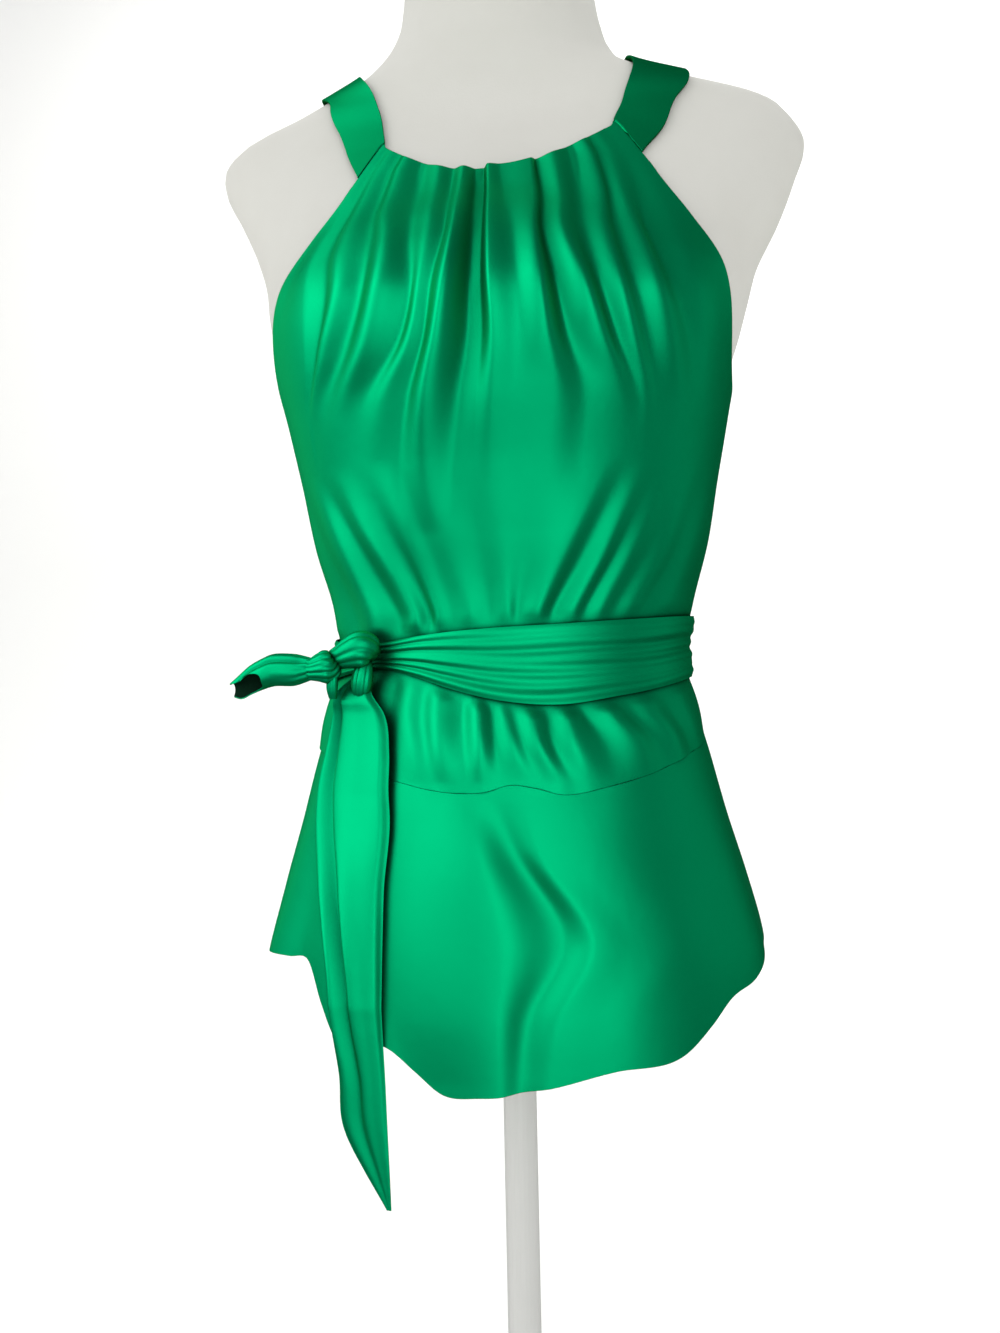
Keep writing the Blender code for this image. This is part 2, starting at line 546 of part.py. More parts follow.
def bodice_heights(angle, top_z, foot_z):
    """Rows of a bodice panel: down to the sash, along its edges and under it, and on to the hip seam."""
    sash_top, sash_bottom = sash_edges(angle)
    marks = (
        top_z,
        sash_top + PRESSED_EDGE,
        sash_top,
        (sash_top + sash_bottom) / 2,
        sash_bottom,
        sash_bottom - PRESSED_EDGE,
        foot_z,
    )
    above, below = BODICE_ROWS
    rows = [top_z]
    for start, end, steps in zip(marks, marks[1:], (above, 1, 1, 1, 1, below)):
        for step in range(1, steps + 1):
            rows.append(start + (end - start) * step / steps)
    return np.array(rows)


def front_bodice(material, collection):
    """From the neckline and armholes down to the hip seam, under the sash."""
    ends = (0.0, *BAND_SEAM, 1.0)
    half = [0.0]
    for start, end, steps in zip(ends, ends[1:], FRONT_COLUMNS):
        half.extend(np.linspace(start, end, steps + 1)[1:])
    share = np.array([-s for s in half[:0:-1]] + half)
    side = np.sign(share)
    seam_trim = np.degrees(SEAM_GAP / 2 / SEAM_RADIUS)
    top_angle, top_z = through(TOP_EDGE, np.abs(share))
    (foot_angle,) = through(FOOT_ANGLES, np.abs(share))
    top_angle = np.minimum(top_angle, SIDE_SEAM - seam_trim) * side
    foot_angle = np.minimum(foot_angle, SIDE_SEAM - seam_trim) * side
    foot_z = through(HIP_SEAM, foot_angle)[0] + SEAM_GAP / 2
    height = bodice_heights(foot_angle, top_z, foot_z)
    down = (top_z - height) / (top_z - foot_z)
    angle = foot_angle + (top_angle - foot_angle) * (1 - down) ** FANNING
    return cloth_sheet("front_bodice", cloth_point(angle, height)[::-1], SATIN, material, collection)


def back_bodice(material, collection):
    """The plain back from its straight top edge to the hip seam."""
    trim = np.degrees(SEAM_GAP / 2 / SEAM_RADIUS)
    angle = np.linspace(SIDE_SEAM + trim, 360 - SIDE_SEAM - trim, BACK_COLUMNS)
    foot_z = through(HIP_SEAM, angle)[0] + SEAM_GAP / 2
    height = bodice_heights(angle, through(BACK_TOP, angle)[0], foot_z)
    points = cloth_point(angle + 0 * height, height)
    return cloth_sheet("back_bodice", points[::-1], SATIN, material, collection)


def hem_panel(name, start, end, hem, grid, material, collection):
    """A flared panel from the hip seam to its hem."""
    columns, rows = grid
    trim = np.degrees(SEAM_GAP / 2 / SEAM_RADIUS)
    angle = np.linspace(start + trim, end - trim, columns)
    top_z = through(HIP_SEAM, angle)[0] - SEAM_GAP / 2
    foot_z = through(hem, angle)[0]
    height = top_z + (foot_z - top_z) * np.linspace(0, 1, rows)[:, None]
    points = cloth_point(angle + 0 * height, height)
    return cloth_sheet(name, points[::-1], SATIN, material, collection)


def neckband(material, collection):
    """From one front corner of the bodice over the shoulder, round the nape and back."""
    along, across = BAND_GRID
    share = np.linspace(-1, 1, along)
    to_end = np.abs(share)
    wearers_left, wearers_right = through(NECKBAND_LEFT, 1 - to_end), through(NECKBAND_RIGHT, 1 - to_end)
    inner_angle, inner_z, outer_angle, outer_z = np.where(share < 0, wearers_left, wearers_right)
    width = np.linspace(0, 1, across)[:, None]
    angle = inner_angle + (outer_angle - inner_angle) * width
    height = inner_z + (outer_z - inner_z) * width
    seam_angle, seam_z = through(TOP_EDGE, BAND_SEAM[0] + (BAND_SEAM[1] - BAND_SEAM[0]) * width)
    at_seam = np.clip(1 - (1 - to_end) / SEAM_SHAPED, 0, 1)
    angle = angle + (seam_angle + BAND_SEAM_TURN - angle) * at_seam
    height = height + (seam_z + SEAM_GAP - height) * at_seam
    angle = np.where(share < 0, angle, 360 - angle)
    on_form = form_point(angle + TURN, height, BAND_LIFT)
    on_bodice = cloth_point(angle, height)
    passed = smooth(1 - (1 - to_end) / ON_BODICE)[None, :, None]
    points = on_form + (on_bodice - on_form) * passed
    return cloth_sheet("neckband", points[::-1], BAND_WALL, material, collection)


def sash_wrap(material, collection):
    """A closed ring of soft lengthwise folds that lies on the bodice."""
    along, across = SASH_GRID
    angle = np.linspace(SASH[0][0], SASH[0][0] + 360, along, endpoint=False)
    top, bottom = sash_edges(angle)
    place = np.linspace(0, 1, across)[:, None]
    height = top + (bottom - top) * place
    rise = 0
    for middle, half, deep in SASH_FOLDS:
        rise = rise + deep * np.exp(-(((place - middle) / half) ** 2))
    points = cloth_point(angle + 0 * height, height, SASH_LIFT + rise, folded=False)
    return cloth_sheet("sash_wrap", points[::-1], SATIN, material, collection, round_columns=True)


def bow_loop(material, collection):
    """A short end folded into a flat tube, cut on the slant so that its inside shows."""
    along, around = LOOP_GRID
    turn = np.linspace(0, 2 * math.pi, around, endpoint=False)
    rows = [(i / (len(LOOP) - 1), *row) for i, row in enumerate(LOOP)]
    near = smooth(np.sin(turn - LOOP_CUT_TURN))
    share = np.linspace(0, 1, along)[:, None] * (1 - LOOP_NEAR_CUT * near)
    x, y, z, high, thick = through(rows, share)
    points = np.stack([x, y - thick * np.sin(turn), z + high * np.cos(turn)], -1)
    return cloth_sheet("bow_loop", points[:, ::-1], SATIN, material, collection, round_columns=True)


def sash_tail(material, collection):
    """The long end that hangs from the knot over the skirt, to a slanted point."""
    across, along = TAIL_GRID
    height = np.linspace(TAIL[0][0], TAIL[-1][0], along)[:, None]
    left, left_lift, right, right_lift = through(TAIL[::-1], height)
    place = np.linspace(0, 1, across)
    angle = left + (right - left) * place
    lift = (left_lift + (right_lift - left_lift) * place) / 1000
    on_skirt = np.maximum(height, TAIL_HANGS)
    fall = np.linspace(0, 1, along)[:, None]
    wide = np.radians(right - left) * section_radius(CLOTH_SECTIONS, left, on_skirt)
    full = np.clip(wide / TAIL_FULL, 0, 1)
    for top_place, foot_place, half, deep in TAIL_FOLDS:
        middle = top_place + (foot_place - top_place) * fall
        lift = lift + deep * full * np.exp(-(((place - middle) / half) ** 2))
    points = cloth_point(angle, on_skirt + 0 * angle, lift)
    points[..., 2] = height
    return cloth_sheet("sash_tail", points[::-1], SATIN, material, collection)


def dress_form(material, collection):
    """Neck, shoulders without arms, bust, waist and hip, closed flat at both ends."""
    angle = np.linspace(0, 360, FORM_STEPS, endpoint=False)
    heights = np.array([row[0] for row in FORM_SECTIONS])[:, None]
    rings = form_point(angle + 0 * heights, heights + 0 * angle)
    return stacked("dress_form", rings, material, collection)


def stand(material, collection):
    pole_foot = COLLAR_TOP + AIR
    pole_top = FORM_BOTTOM - AIR
    pole = (
        (0.0, pole_top),
        (FLANGE_RADIUS, pole_top),
        (FLANGE_RADIUS, pole_top - FLANGE_HEIGHT),
        (POLE_RADIUS, pole_top - FLANGE_HEIGHT),
        (POLE_RADIUS, pole_foot),
        (0.0, pole_foot),
    )
    turned("stand_pole", pole, material, collection, POLE_STEPS)
    base = (
        (0.0, COLLAR_TOP),
        (COLLAR_RADIUS, COLLAR_TOP),
        (COLLAR_RADIUS, 0.021),
        (0.026, 0.016),
        (BASE_RADIUS - 0.006, BASE_EDGE + 0.003),
        (BASE_RADIUS, BASE_EDGE),
        (BASE_RADIUS, 0.0),
        (0.0, 0.0),
    )
    turned("stand_base", base, material, collection, BASE_STEPS)


def main():
    clear_scene()
    collection = new_collection("sleeveless_blouse_on_form")
    satin = new_material("green satin", GREEN, 0.4)
    band_satin = new_material("neckband satin", GREEN_DARK, 0.45)
    cover = new_material("form cover", FORM_WHITE, 0.85)
    enamel = new_material("white enamelled steel", STAND_WHITE, 0.45)

    front_bodice(satin, collection)
    back_bodice(satin, collection)
    hem_panel("front_hem_panel", -SIDE_SEAM, SIDE_SEAM, FRONT_HEM, HEM_GRID, satin, collection)
    hem_panel("back_hem_panel", SIDE_SEAM, 360 - SIDE_SEAM, BACK_HEM, BACK_HEM_GRID, satin, collection)
    neckband(band_satin, collection)
    sash_wrap(satin, collection)
    bundle("sash_knot", KNOT_CENTRE, KNOT_ANGLE, KNOT_LEVELS, satin, collection)
    bundle("sash_throat", THROAT_CENTRE, THROAT_ANGLE, THROAT_LEVELS, satin, collection)
    bow_loop(satin, collection)
    sash_tail(satin, collection)
    dress_form(cover, collection)
    stand(enamel, collection)


main()
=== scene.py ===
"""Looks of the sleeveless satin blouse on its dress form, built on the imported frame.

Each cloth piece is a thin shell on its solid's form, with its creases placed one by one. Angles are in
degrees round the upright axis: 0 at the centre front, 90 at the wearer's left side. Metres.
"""

import math

import bpy
import numpy as np
from mathutils import Matrix


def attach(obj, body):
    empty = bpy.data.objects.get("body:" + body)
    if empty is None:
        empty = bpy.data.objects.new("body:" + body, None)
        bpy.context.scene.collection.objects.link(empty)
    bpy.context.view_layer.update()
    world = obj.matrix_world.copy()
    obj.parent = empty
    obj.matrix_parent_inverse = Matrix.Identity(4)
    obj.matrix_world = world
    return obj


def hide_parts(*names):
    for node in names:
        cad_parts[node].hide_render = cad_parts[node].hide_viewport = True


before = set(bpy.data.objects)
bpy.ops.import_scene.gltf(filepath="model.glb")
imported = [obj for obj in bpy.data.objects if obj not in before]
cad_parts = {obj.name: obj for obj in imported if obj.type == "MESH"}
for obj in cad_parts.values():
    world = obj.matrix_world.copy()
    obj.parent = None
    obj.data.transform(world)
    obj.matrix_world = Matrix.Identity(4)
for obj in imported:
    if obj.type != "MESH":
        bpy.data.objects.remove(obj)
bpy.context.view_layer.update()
scene = bpy.context.scene

# Sizes
SATIN = 0.0008  # wall of the shown cloth
BAND_WALL = 0.0020
EDGE_TRIM = 0.00015  # what a piece stops short of its neighbour
EDGE_MARGIN = 0.1  # of the first and last row, so that edges shade crisply
FORM_AIR = 0.0032  # between the form and the cloth that lies on it
FORM_BLEND = 0.004  # how softly the cloth leaves the form
BAND_LIFT = 0.0026  # of the neckband's middle off the form
SASH_LIFT = 0.0022  # of the sash's middle off the blouse
TURN = 3.0  # how far the blouse is turned on the form
SIDE_SEAM = 90.0
SEAM_RADIUS = 0.12  # from the axis to a side seam, roughly
SEAM_TRIM = np.degrees(EDGE_TRIM / 2 / SEAM_RADIUS)  # what a panel stops short of one
FOLD_FADE = 0.010  # how far a crease of the back runs out past its ends
PRESSED_FLAT = 0.88  # share of a fold that the sash presses out
PRESSED_EDGE = 0.009  # how far past the sash's edges that goes
FANNING = 2.2  # how soon the front fans out below its neckline
CROWDING = 0.20  # how much closer the front's columns stand at its middle
HIP_PUFF = 0.0022  # how far the gathers puff out over the hip seam
PUFF_POWER = 1.3

# Dress form: height, half width at the wearer's right and left, front depth, back depth, squareness
FORM_SECTIONS = (
    (0.430, 0.1460, 0.1460, 0.104, 0.104, 2.3),
    (0.500, 0.1290, 0.1290, 0.098, 0.096, 2.3),
    (0.560, 0.1125, 0.1125, 0.089, 0.084, 2.3),
    (0.590, 0.1090, 0.1090, 0.086, 0.080, 2.3),
    (0.620, 0.1095, 0.1095, 0.087, 0.078, 2.3),
    (0.660, 0.1190, 0.1190, 0.094, 0.081, 2.3),
    (0.700, 0.1280, 0.1280, 0.103, 0.085, 2.3),
    (0.740, 0.1370, 0.1370, 0.117, 0.090, 2.3),
    (0.765, 0.1460, 0.1470, 0.124, 0.093, 2.3),
    (0.790, 0.1530, 0.1560, 0.126, 0.096, 2.3),
    (0.815, 0.1590, 0.1630, 0.116, 0.098, 2.3),
    (0.840, 0.1630, 0.1700, 0.102, 0.100, 2.3),
    (0.870, 0.1730, 0.1850, 0.084, 0.098, 2.4),
    (0.895, 0.1850, 0.1950, 0.070, 0.090, 2.4),
    (0.918, 0.1960, 0.2010, 0.058, 0.078, 2.4),
    (0.933, 0.1960, 0.1930, 0.052, 0.070, 2.4),
    (0.945, 0.1830, 0.1800, 0.050, 0.064, 2.3),
    (0.956, 0.1540, 0.1480, 0.049, 0.061, 2.2),
    (0.966, 0.1290, 0.1150, 0.050, 0.060, 2.1),
    (0.977, 0.1040, 0.0900, 0.051, 0.060, 2.0),
    (0.990, 0.0840, 0.0780, 0.053, 0.059, 2.0),
    (1.008, 0.0700, 0.0710, 0.055, 0.058, 2.0),
    (1.028, 0.0650, 0.0670, 0.056, 0.058, 2.0),
    (1.062, 0.0635, 0.0655, 0.056, 0.058, 2.0),
)

# Cloth with its folds left out: height, half width at the wearer's right and left, front depth, back
# depth, squareness
CLOTH_SECTIONS = (
    (0.330, 0.1690, 0.1690, 0.128, 0.127, 2.2),
    (0.380, 0.1660, 0.1660, 0.126, 0.124, 2.2),
    (0.400, 0.1640, 0.1640, 0.124, 0.121, 2.2),
    (0.440, 0.1540, 0.1540, 0.119, 0.116, 2.2),
    (0.480, 0.1420, 0.1420, 0.113, 0.109, 2.2),
    (0.520, 0.1310, 0.1318, 0.106, 0.099, 2.2),
    (0.560, 0.1190, 0.1210, 0.096, 0.088, 2.2),
    (0.590, 0.1145, 0.1170, 0.092, 0.084, 2.2),
    (0.620, 0.1175, 0.1232, 0.094, 0.084, 2.2),
    (0.660, 0.1290, 0.1338, 0.103, 0.088, 2.2),
    (0.700, 0.1370, 0.1406, 0.113, 0.091, 2.2),
    (0.740, 0.1450, 0.1478, 0.125, 0.096, 2.2),
    (0.760, 0.1490, 0.1510, 0.130, 0.099, 2.2),
    (0.780, 0.1520, 0.1530, 0.133, 0.101, 2.2),
    (0.800, 0.1540, 0.1540, 0.132, 0.102, 2.2),
    (0.820, 0.1540, 0.1540, 0.124, 0.103, 2.2),
    (0.840, 0.1500, 0.1500, 0.111, 0.100, 2.2),
    (0.880, 0.1390, 0.1390, 0.078, 0.092, 2.2),
    (0.930, 0.1190, 0.1190, 0.050, 0.080, 2.2),
)

# Each side of the neckline and armhole, from the centre front: share of the panel, angle, height
TOP_EDGE = (
    (0.00, 0.0, 0.8835),
    (0.15, 13.0, 0.8845),
    (0.32, 28.0, 0.8920),
    (0.46, 40.0, 0.9020),
    (0.53, 46.4, 0.9085),
    (0.57, 49.8, 0.9130),
    (0.58, 50.4, 0.9150),
    (0.64, 51.2, 0.8890),
    (0.68, 51.6, 0.8680),
    (0.74, 54.6, 0.8450),
    (0.81, 61.6, 0.8160),
    (0.87, 67.0, 0.7850),
    (0.93, 76.0, 0.7620),
    (1.00, 90.0, 0.7540),
)
BAND_SEAM = (0.58, 0.64)  # shares of the panel between which the neckband is sewn on
BAND_SEAM_TURN = 0.2  # how far the band's end stays off it
# Where those shares are at the hip seam: share, angle
FOOT_ANGLES = ((0.00, 0.0), (0.30, 22.0), (0.58, 46.0), (0.70, 58.0), (1.00, 90.0))
# Seams and edges that run round the blouse: angle, height
HIP_SEAM = (
    (-90.0, 0.534),
    (-55.0, 0.521),
    (-30.0, 0.512),
    (-20.0, 0.508),
    (-4.0, 0.507),
    (5.0, 0.511),
    (12.0, 0.509),
    (20.0, 0.505),
    (32.0, 0.508),
    (48.0, 0.515),
    (64.0, 0.524),
    (90.0, 0.534),
    (135.0, 0.532),
    (180.0, 0.530),
    (225.0, 0.532),
    (270.0, 0.534),
)
FRONT_HEM = (
    (-90.0, 0.398),
    (-72.0, 0.399),
    (-60.0, 0.402),
    (-53.0, 0.403),
    (-46.0, 0.381),
    (-40.0, 0.361),
    (-29.0, 0.362),
    (-22.0, 0.350),
    (-15.0, 0.339),
    (-4.0, 0.339),
    (12.0, 0.344),
    (28.0, 0.352),
    (45.0, 0.357),
    (52.0, 0.369),
    (58.0, 0.380),
    (67.0, 0.386),
    (76.0, 0.396),
    (90.0, 0.400),
)
BACK_HEM = (
    (90.0, 0.400),
    (112.0, 0.391),
    (128.0, 0.368),
    (145.0, 0.350),
    (180.0, 0.343),
    (215.0, 0.350),
    (232.0, 0.367),
    (248.0, 0.389),
    (270.0, 0.398),
)
BACK_TOP = ((90.0, 0.754), (120.0, 0.746), (180.0, 0.738), (240.0, 0.746), (270.0, 0.754))

# Pleats, a line for each crest and hollow from the wearer's right to left: its angles at the heights of
# the levels, and how far it stands out there in millimetres. First those of the neckline
TOP_LEVELS = (0.890, 0.858, 0.830, 0.795, 0.765, 0.735, 0.700, 0.660)
TOP_LINES = (
    ((-54, -54, -56, -60, -64, -66, -68, -70), (0, 0, 0, 0, 0, 0, 0, 0)),
    ((-50.5, -49.5, -49.2, -47.3, -49.5, -56, -60, -62), (0.0, 0.5, 2.1, 2.1, 1.0, 0, 0, 0)),
    ((-48.5, -46.5, -44.8, -41.3, -46, -54, -58, -60), (-0.5, -0.5, -0.5, -0.5, -0.5, 0, 0, 0)),
    ((-46, -42.6, -38.9, -36.1, -42.3, -52, -56, -58), (0.3, 2.4, 4.2, 4.7, 3.6, 0, 0, 0)),
    ((-42, -37.9, -32.5, -30.7, -36.3, -47, -52, -54), (-0.8, -0.8, -0.8, -0.7, -0.5, 0, 0, 0)),
    ((-37, -32.5, -26.4, -24.7, -29, -40, -46, -48), (3.1, 3.9, 4.9, 6.0, 5.2, 1.3, 0, 0)),
    ((-30, -25, -20.6, -17.5, -21.5, -33, -38, -40), (-1.0, -1.2, -1.3, -1.3, -0.8, 0, 0, 0)),
    ((-21.5, -17.6, -15, -14.8, -17.5, -27, -33, -36), (2.6, 2.9, 2.3, 1.6, 3.4, 1.6, 0, 0)),
    ((-16, -13.2, -10.9, -12.3, -14.6, -21, -27, -30), (0, 0.5, 0.8, 1.3, 1.8, 0.8, 0, 0)),
    ((-10.5, -8.4, -7.4, -8.0, -10.4, -14.6, -18.5, -21), (4.2, 6.0, 7.5, 9.1, 9.6, 8.3, 4.2, 0)),
    ((-5.5, -3.8, -2.8, -2.6, -3.4, -6.5, -10, -13), (-1.0, -1.8, -2.6, -2.9, -2.6, -1.8, -1.0, 0)),
    ((-2.2, -0.8, -0.3, 0.0, -0.2, -2.5, -5, -8), (-0.8, -1.0, -1.3, -1.0, -0.5, 0.3, 0, 0)),
    ((0.0, 1.2, 1.7, 2.2, 3.0, 2.2, 1, 0), (4.7, 5.7, 6.2, 6.8, 6.2, 4.4, 1.8, 0)),
    ((5, 6.5, 7.8, 8.2, 8.8, 8.2, 7, 6), (2.9, 2.6, 3.1, 4.2, 4.2, 3.1, 1.3, 0)),
    ((17.5, 15.6, 13.4, 13.2, 14.6, 17.3, 17, 16), (3.9, 4.9, 6.5, 8.1, 7.5, 4.2, 1.8, 0)),
    ((20.5, 19.4, 16.6, 17.8, 20.6, 26, 27, 27), (-0.7, -0.8, -1.0, -1.3, -1.0, 0, 0, 0)),
    ((26.5, 24, 20.9, 23.1, 27.4, 34.5, 36, 36), (2.6, 3.4, 4.4, 5.7, 5.2, 1.0, 0, 0)),
    ((34, 30.2, 27, 27.8, 32.1, 39, 41, 41), (-0.7, -0.7, -0.8, -0.8, -0.5, 0, 0, 0)),
    ((38.5, 35.5, 31.8, 31.8, 35.5, 41.5, 44, 44), (2.1, 2.9, 3.4, 3.9, 3.4, 0.8, 0, 0)),
    ((41.5, 38.3, 35.4, 35.8, 39.7, 45, 48, 48), (-0.4, -0.4, -0.3, 0, 0, 0, 0, 0)),
    ((44.5, 41, 39.6, 40.5, 45, 51, 54, 54), (0.3, 1.6, 3.6, 4.2, 3.4, 0.5, 0, 0)),
    ((47.5, 45.5, 43, 46, 52.5, 57, 60, 60), (0, -0.3, 0, 0, 0, 0, 0, 0)),
    ((50, 49.5, 50, 53, 58, 62, 64, 64), (0.0, 0.6, 1.8, 1.6, 0.8, 0, 0, 0)),
    ((54, 56, 60, 64, 68, 70, 72, 72), (0, 0, 0, 0, 0, 0, 0, 0)),
)
# Drag lines towards the knot and gathers above the sash
WAIST_LEVELS = (0.702, 0.668, 0.640, 0.612)
WAIST_LINES = (
    ((-84, -83, -82, -81), (0, 0, 0, 0)),
    ((-76, -74, -72, -69), (0, 0.8, 1.6, 2.2)),
    ((-70, -66, -61, -56), (0, -0.2, -0.3, -0.3)),
    ((-61, -54.7, -50.2, -45), (0, 2.6, 3.4, 3.4)),
    ((-55, -48.5, -43, -36.5), (0, -0.5, -0.6, -0.6)),
    ((-48, -42.5, -35.2, -28.4), (0, 2.0, 3.2, 3.2)),
    ((-40, -35.4, -29.5, -24.5), (0, -0.4, -0.8, -1.2)),
    ((-33, -28.3, -24.5, -20), (0, 1.8, 1.6, 2.0)),
    ((-27, -23, -19, -15), (0, 0, 0.2, 0.4)),
    ((-20, -17, -13.5, -9), (0, 0.9, 1.2, 1.6)),
    ((-10, -6, -4, -2), (0, 0, -0.2, -0.5)),
    ((3, 3, 4, 4.5), (0, 0.6, 1.0, 1.6)),
    ((14, 12, 10, 8), (0, 0, 0, 0)),
    ((34, 27.5, 21.1, 14.8), (0, 2.0, 3.0, 3.2)),
    ((40, 33.8, 28.2, 20.5), (0, -0.4, -0.7, -0.9)),
    ((46, 39.2, 34.1, 26.8), (0, 1.6, 2.3, 2.4)),
    ((50, 43.4, 38.3, 31.3), (0, 0, -0.3, -0.3)),
    ((54, 48, 42.8, 36), (0, 0.8, 1.6, 1.8)),
    ((58, 52, 47.8, 40.8), (0, 0, 0, 0)),
    ((62, 57, 53, 46), (0, 0.8, 1.5, 1.8)),
    ((67, 63, 59, 52), (0, 0, 0, 0)),
    ((73, 70, 66, 60), (0, 0.7, 1.2, 1.4)),
    ((82, 81, 79, 77), (0, 0, 0, 0)),
)
# Gathers between the sash and the hip seam
LOW_LEVELS = (0.572, 0.553, 0.536, 0.512)
LOW_LINES = (
    ((-84, -85, -86, -87), (0, 0, 0, 0)),
    ((-72, -73, -74, -75), (2.2, 2.4, 2.2, 0.3)),
    ((-65, -65, -65, -65), (0, 0, 0, 0)),
    ((-57, -57, -56.5, -55), (2.6, 3.0, 2.8, 0.3)),
    ((-50, -50, -49, -47), (0, 0, 0, 0)),
    ((-44, -44, -43, -41), (2.8, 3.2, 3.0, 0.3)),
    ((-37, -37, -35.5, -33), (-0.4, -0.4, -0.3, 0)),
    ((-30.5, -30, -27, -24.5), (1.6, 2.0, 1.8, 0.2)),
    ((-26, -25.7, -23.5, -20.5), (0.4, 0.4, 0.6, 0)),
    ((-20, -19.5, -18, -16), (3.0, 3.6, 3.4, 0.4)),
    ((-12.5, -12, -11, -9.5), (-0.4, -0.4, -0.3, 0)),
    ((-6.5, -6, -5, -4.5), (3.0, 3.8, 3.8, 0.6)),
    ((-1.5, -1.2, 0, 2), (-0.6, -0.6, -0.5, 0)),
    ((2, 2.5, 5, 10), (1.2, 1.4, 1.8, 0.3)),
    ((5, 5.8, 8.5, 14), (0.2, 0.2, 0.4, 0)),
    ((10.5, 11.2, 13, 19), (2.6, 3.4, 3.0, 0.4)),
    ((17, 17.7, 18, 23.5), (-0.4, -0.4, -0.3, 0)),
    ((22, 22.6, 24, 28.5), (3.0, 3.8, 3.4, 0.4)),
    ((28, 28.7, 33, 36.5), (-0.5, -0.5, -0.4, 0)),
    ((35, 36.4, 42.5, 45.5), (2.8, 3.2, 2.8, 0.4)),
    ((42, 43.4, 49.5, 53), (-0.3, -0.3, -0.2, 0)),
    ((49, 50.4, 56, 60), (2.2, 2.4, 2.2, 0.3)),
    ((57, 59, 63, 67), (0, 0, 0, 0)),
    ((66, 67, 70, 73), (1.5, 1.7, 1.5, 0.2)),
    ((80, 81, 82, 84), (0, 0, 0, 0)),
)
# Waves of the flared front hem
HEM_LEVELS = (0.505, 0.475, 0.422, 0.382, 0.345)
HEM_LINES = (
    ((-92, -92, -92, -92, -92), (0, 0.4, 1.0, 2.0, 3.0)),
    ((-78, -78, -78, -78, -78), (0, 0, 0, 0, 0)),
    ((-66, -66.5, -67, -68, -68), (0.2, 1.6, 3.4, 6.5, 8.0)),
    ((-54, -55, -55, -56, -56), (0, -0.2, -0.4, -0.8, -1.0)),
    ((-42, -41, -41, -40, -38), (0.2, 1.6, 3.0, 4.2, 4.5)),
    ((-26, -26, -27, -26, -22), (0, 0, -0.4, -1.0, -1.6)),
    ((-12, -6, 1, 0, 0), (0.6, 3.6, 5.0, 5.0, 4.6)),
    ((-1, 5, 17.5, 8.5, 6), (-0.2, -2.2, -2.8, -1.0, 0.8)),
    ((9, 12, 25, 16, 13), (0.6, 1.9, 3.2, 3.0, 3.2)),
    ((28, 21, 34, 24, 22), (0, 1.7, 2.6, 2.8, 3.0)),
    ((40, 32, 44, 34, 34), (0.5, 1.7, 2.9, 3.4, 3.8)),
    ((58, 58, 59, 60, 62), (0, 0.3, 0.8, 1.6, 2.0)),
    ((70, 70, 71, 72, 74), (0.3, 1.4, 2.6, 3.6, 4.2)),
    ((80, 80, 81, 82, 83), (0, 0, 0, 0, 0)),
    ((92, 92, 92, 92, 92), (0, 0.4, 0.8, 1.4, 2.0)),
)
# Creases of the back: from the top down, places of the ridge as angle, height and rise in
# millimetres, then the widths of its left and right slope at the top and foot in millimetres
BACK_FOLDS = (
    (((104, 0.740, 0), (112, 0.690, 2.5), (122, 0.622, 3.0)), (11, 9, 6, 4)),
    (((118, 0.735, 0), (128, 0.680, 3.5), (140, 0.620, 3.5)), (12, 9, 6, 4)),
    (((138, 0.700, 0), (145, 0.660, 2.4), (151, 0.622, 3.0)), (10, 8, 4, 4)),
    (((152, 0.705, 0), (158, 0.660, 3.2), (161, 0.620, 3.4)), (11, 9, 5, 4)),
    (((171, 0.680, 0), (171, 0.650, 1.8), (171, 0.620, 2.8)), (8, 8, 4, 4)),
    (((183, 0.695, 0), (182, 0.656, 2.6), (181, 0.620, 3.2)), (10, 10, 4, 4)),
    (((209, 0.705, 0), (204, 0.662, 3.4), (197, 0.620, 3.4)), (9, 11, 4, 5)),
    (((224, 0.710, 0), (218, 0.660, 2.6), (212, 0.620, 3.0)), (8, 10, 4, 5)),
    (((243, 0.735, 0), (234, 0.675, 3.4), (222, 0.619, 3.5)), (9, 12, 4, 6)),
    (((258, 0.730, 0), (250, 0.670, 2.6), (240, 0.617, 3.0)), (9, 11, 4, 6)),
    (((104, 0.566, 2.0), (103, 0.553, 2.4), (101, 0.538, 0.3)), (5, 5, 9, 9)),
    (((127, 0.565, 2.8), (126, 0.552, 3.0), (124, 0.538, 0.4)), (5, 5, 10, 9)),
    (((146, 0.564, 2.2), (147, 0.550, 2.4), (149, 0.536, 0.3)), (4, 4, 8, 8)),
    (((163, 0.563, 2.8), (165, 0.550, 3.0), (168, 0.535, 0.4)), (5, 5, 10, 9)),
    (((187, 0.562, 2.4), (188, 0.550, 2.6), (190, 0.535, 0.4)), (5, 5, 9, 9)),
    (((206, 0.562, 2.2), (205, 0.550, 2.4), (204, 0.536, 0.3)), (4, 4, 8, 8)),
    (((223, 0.562, 2.8), (222, 0.550, 3.0), (220, 0.537, 0.4)), (5, 5, 10, 9)),
    (((244, 0.563, 2.4), (245, 0.552, 2.6), (247, 0.538, 0.3)), (5, 5, 9, 9)),
)
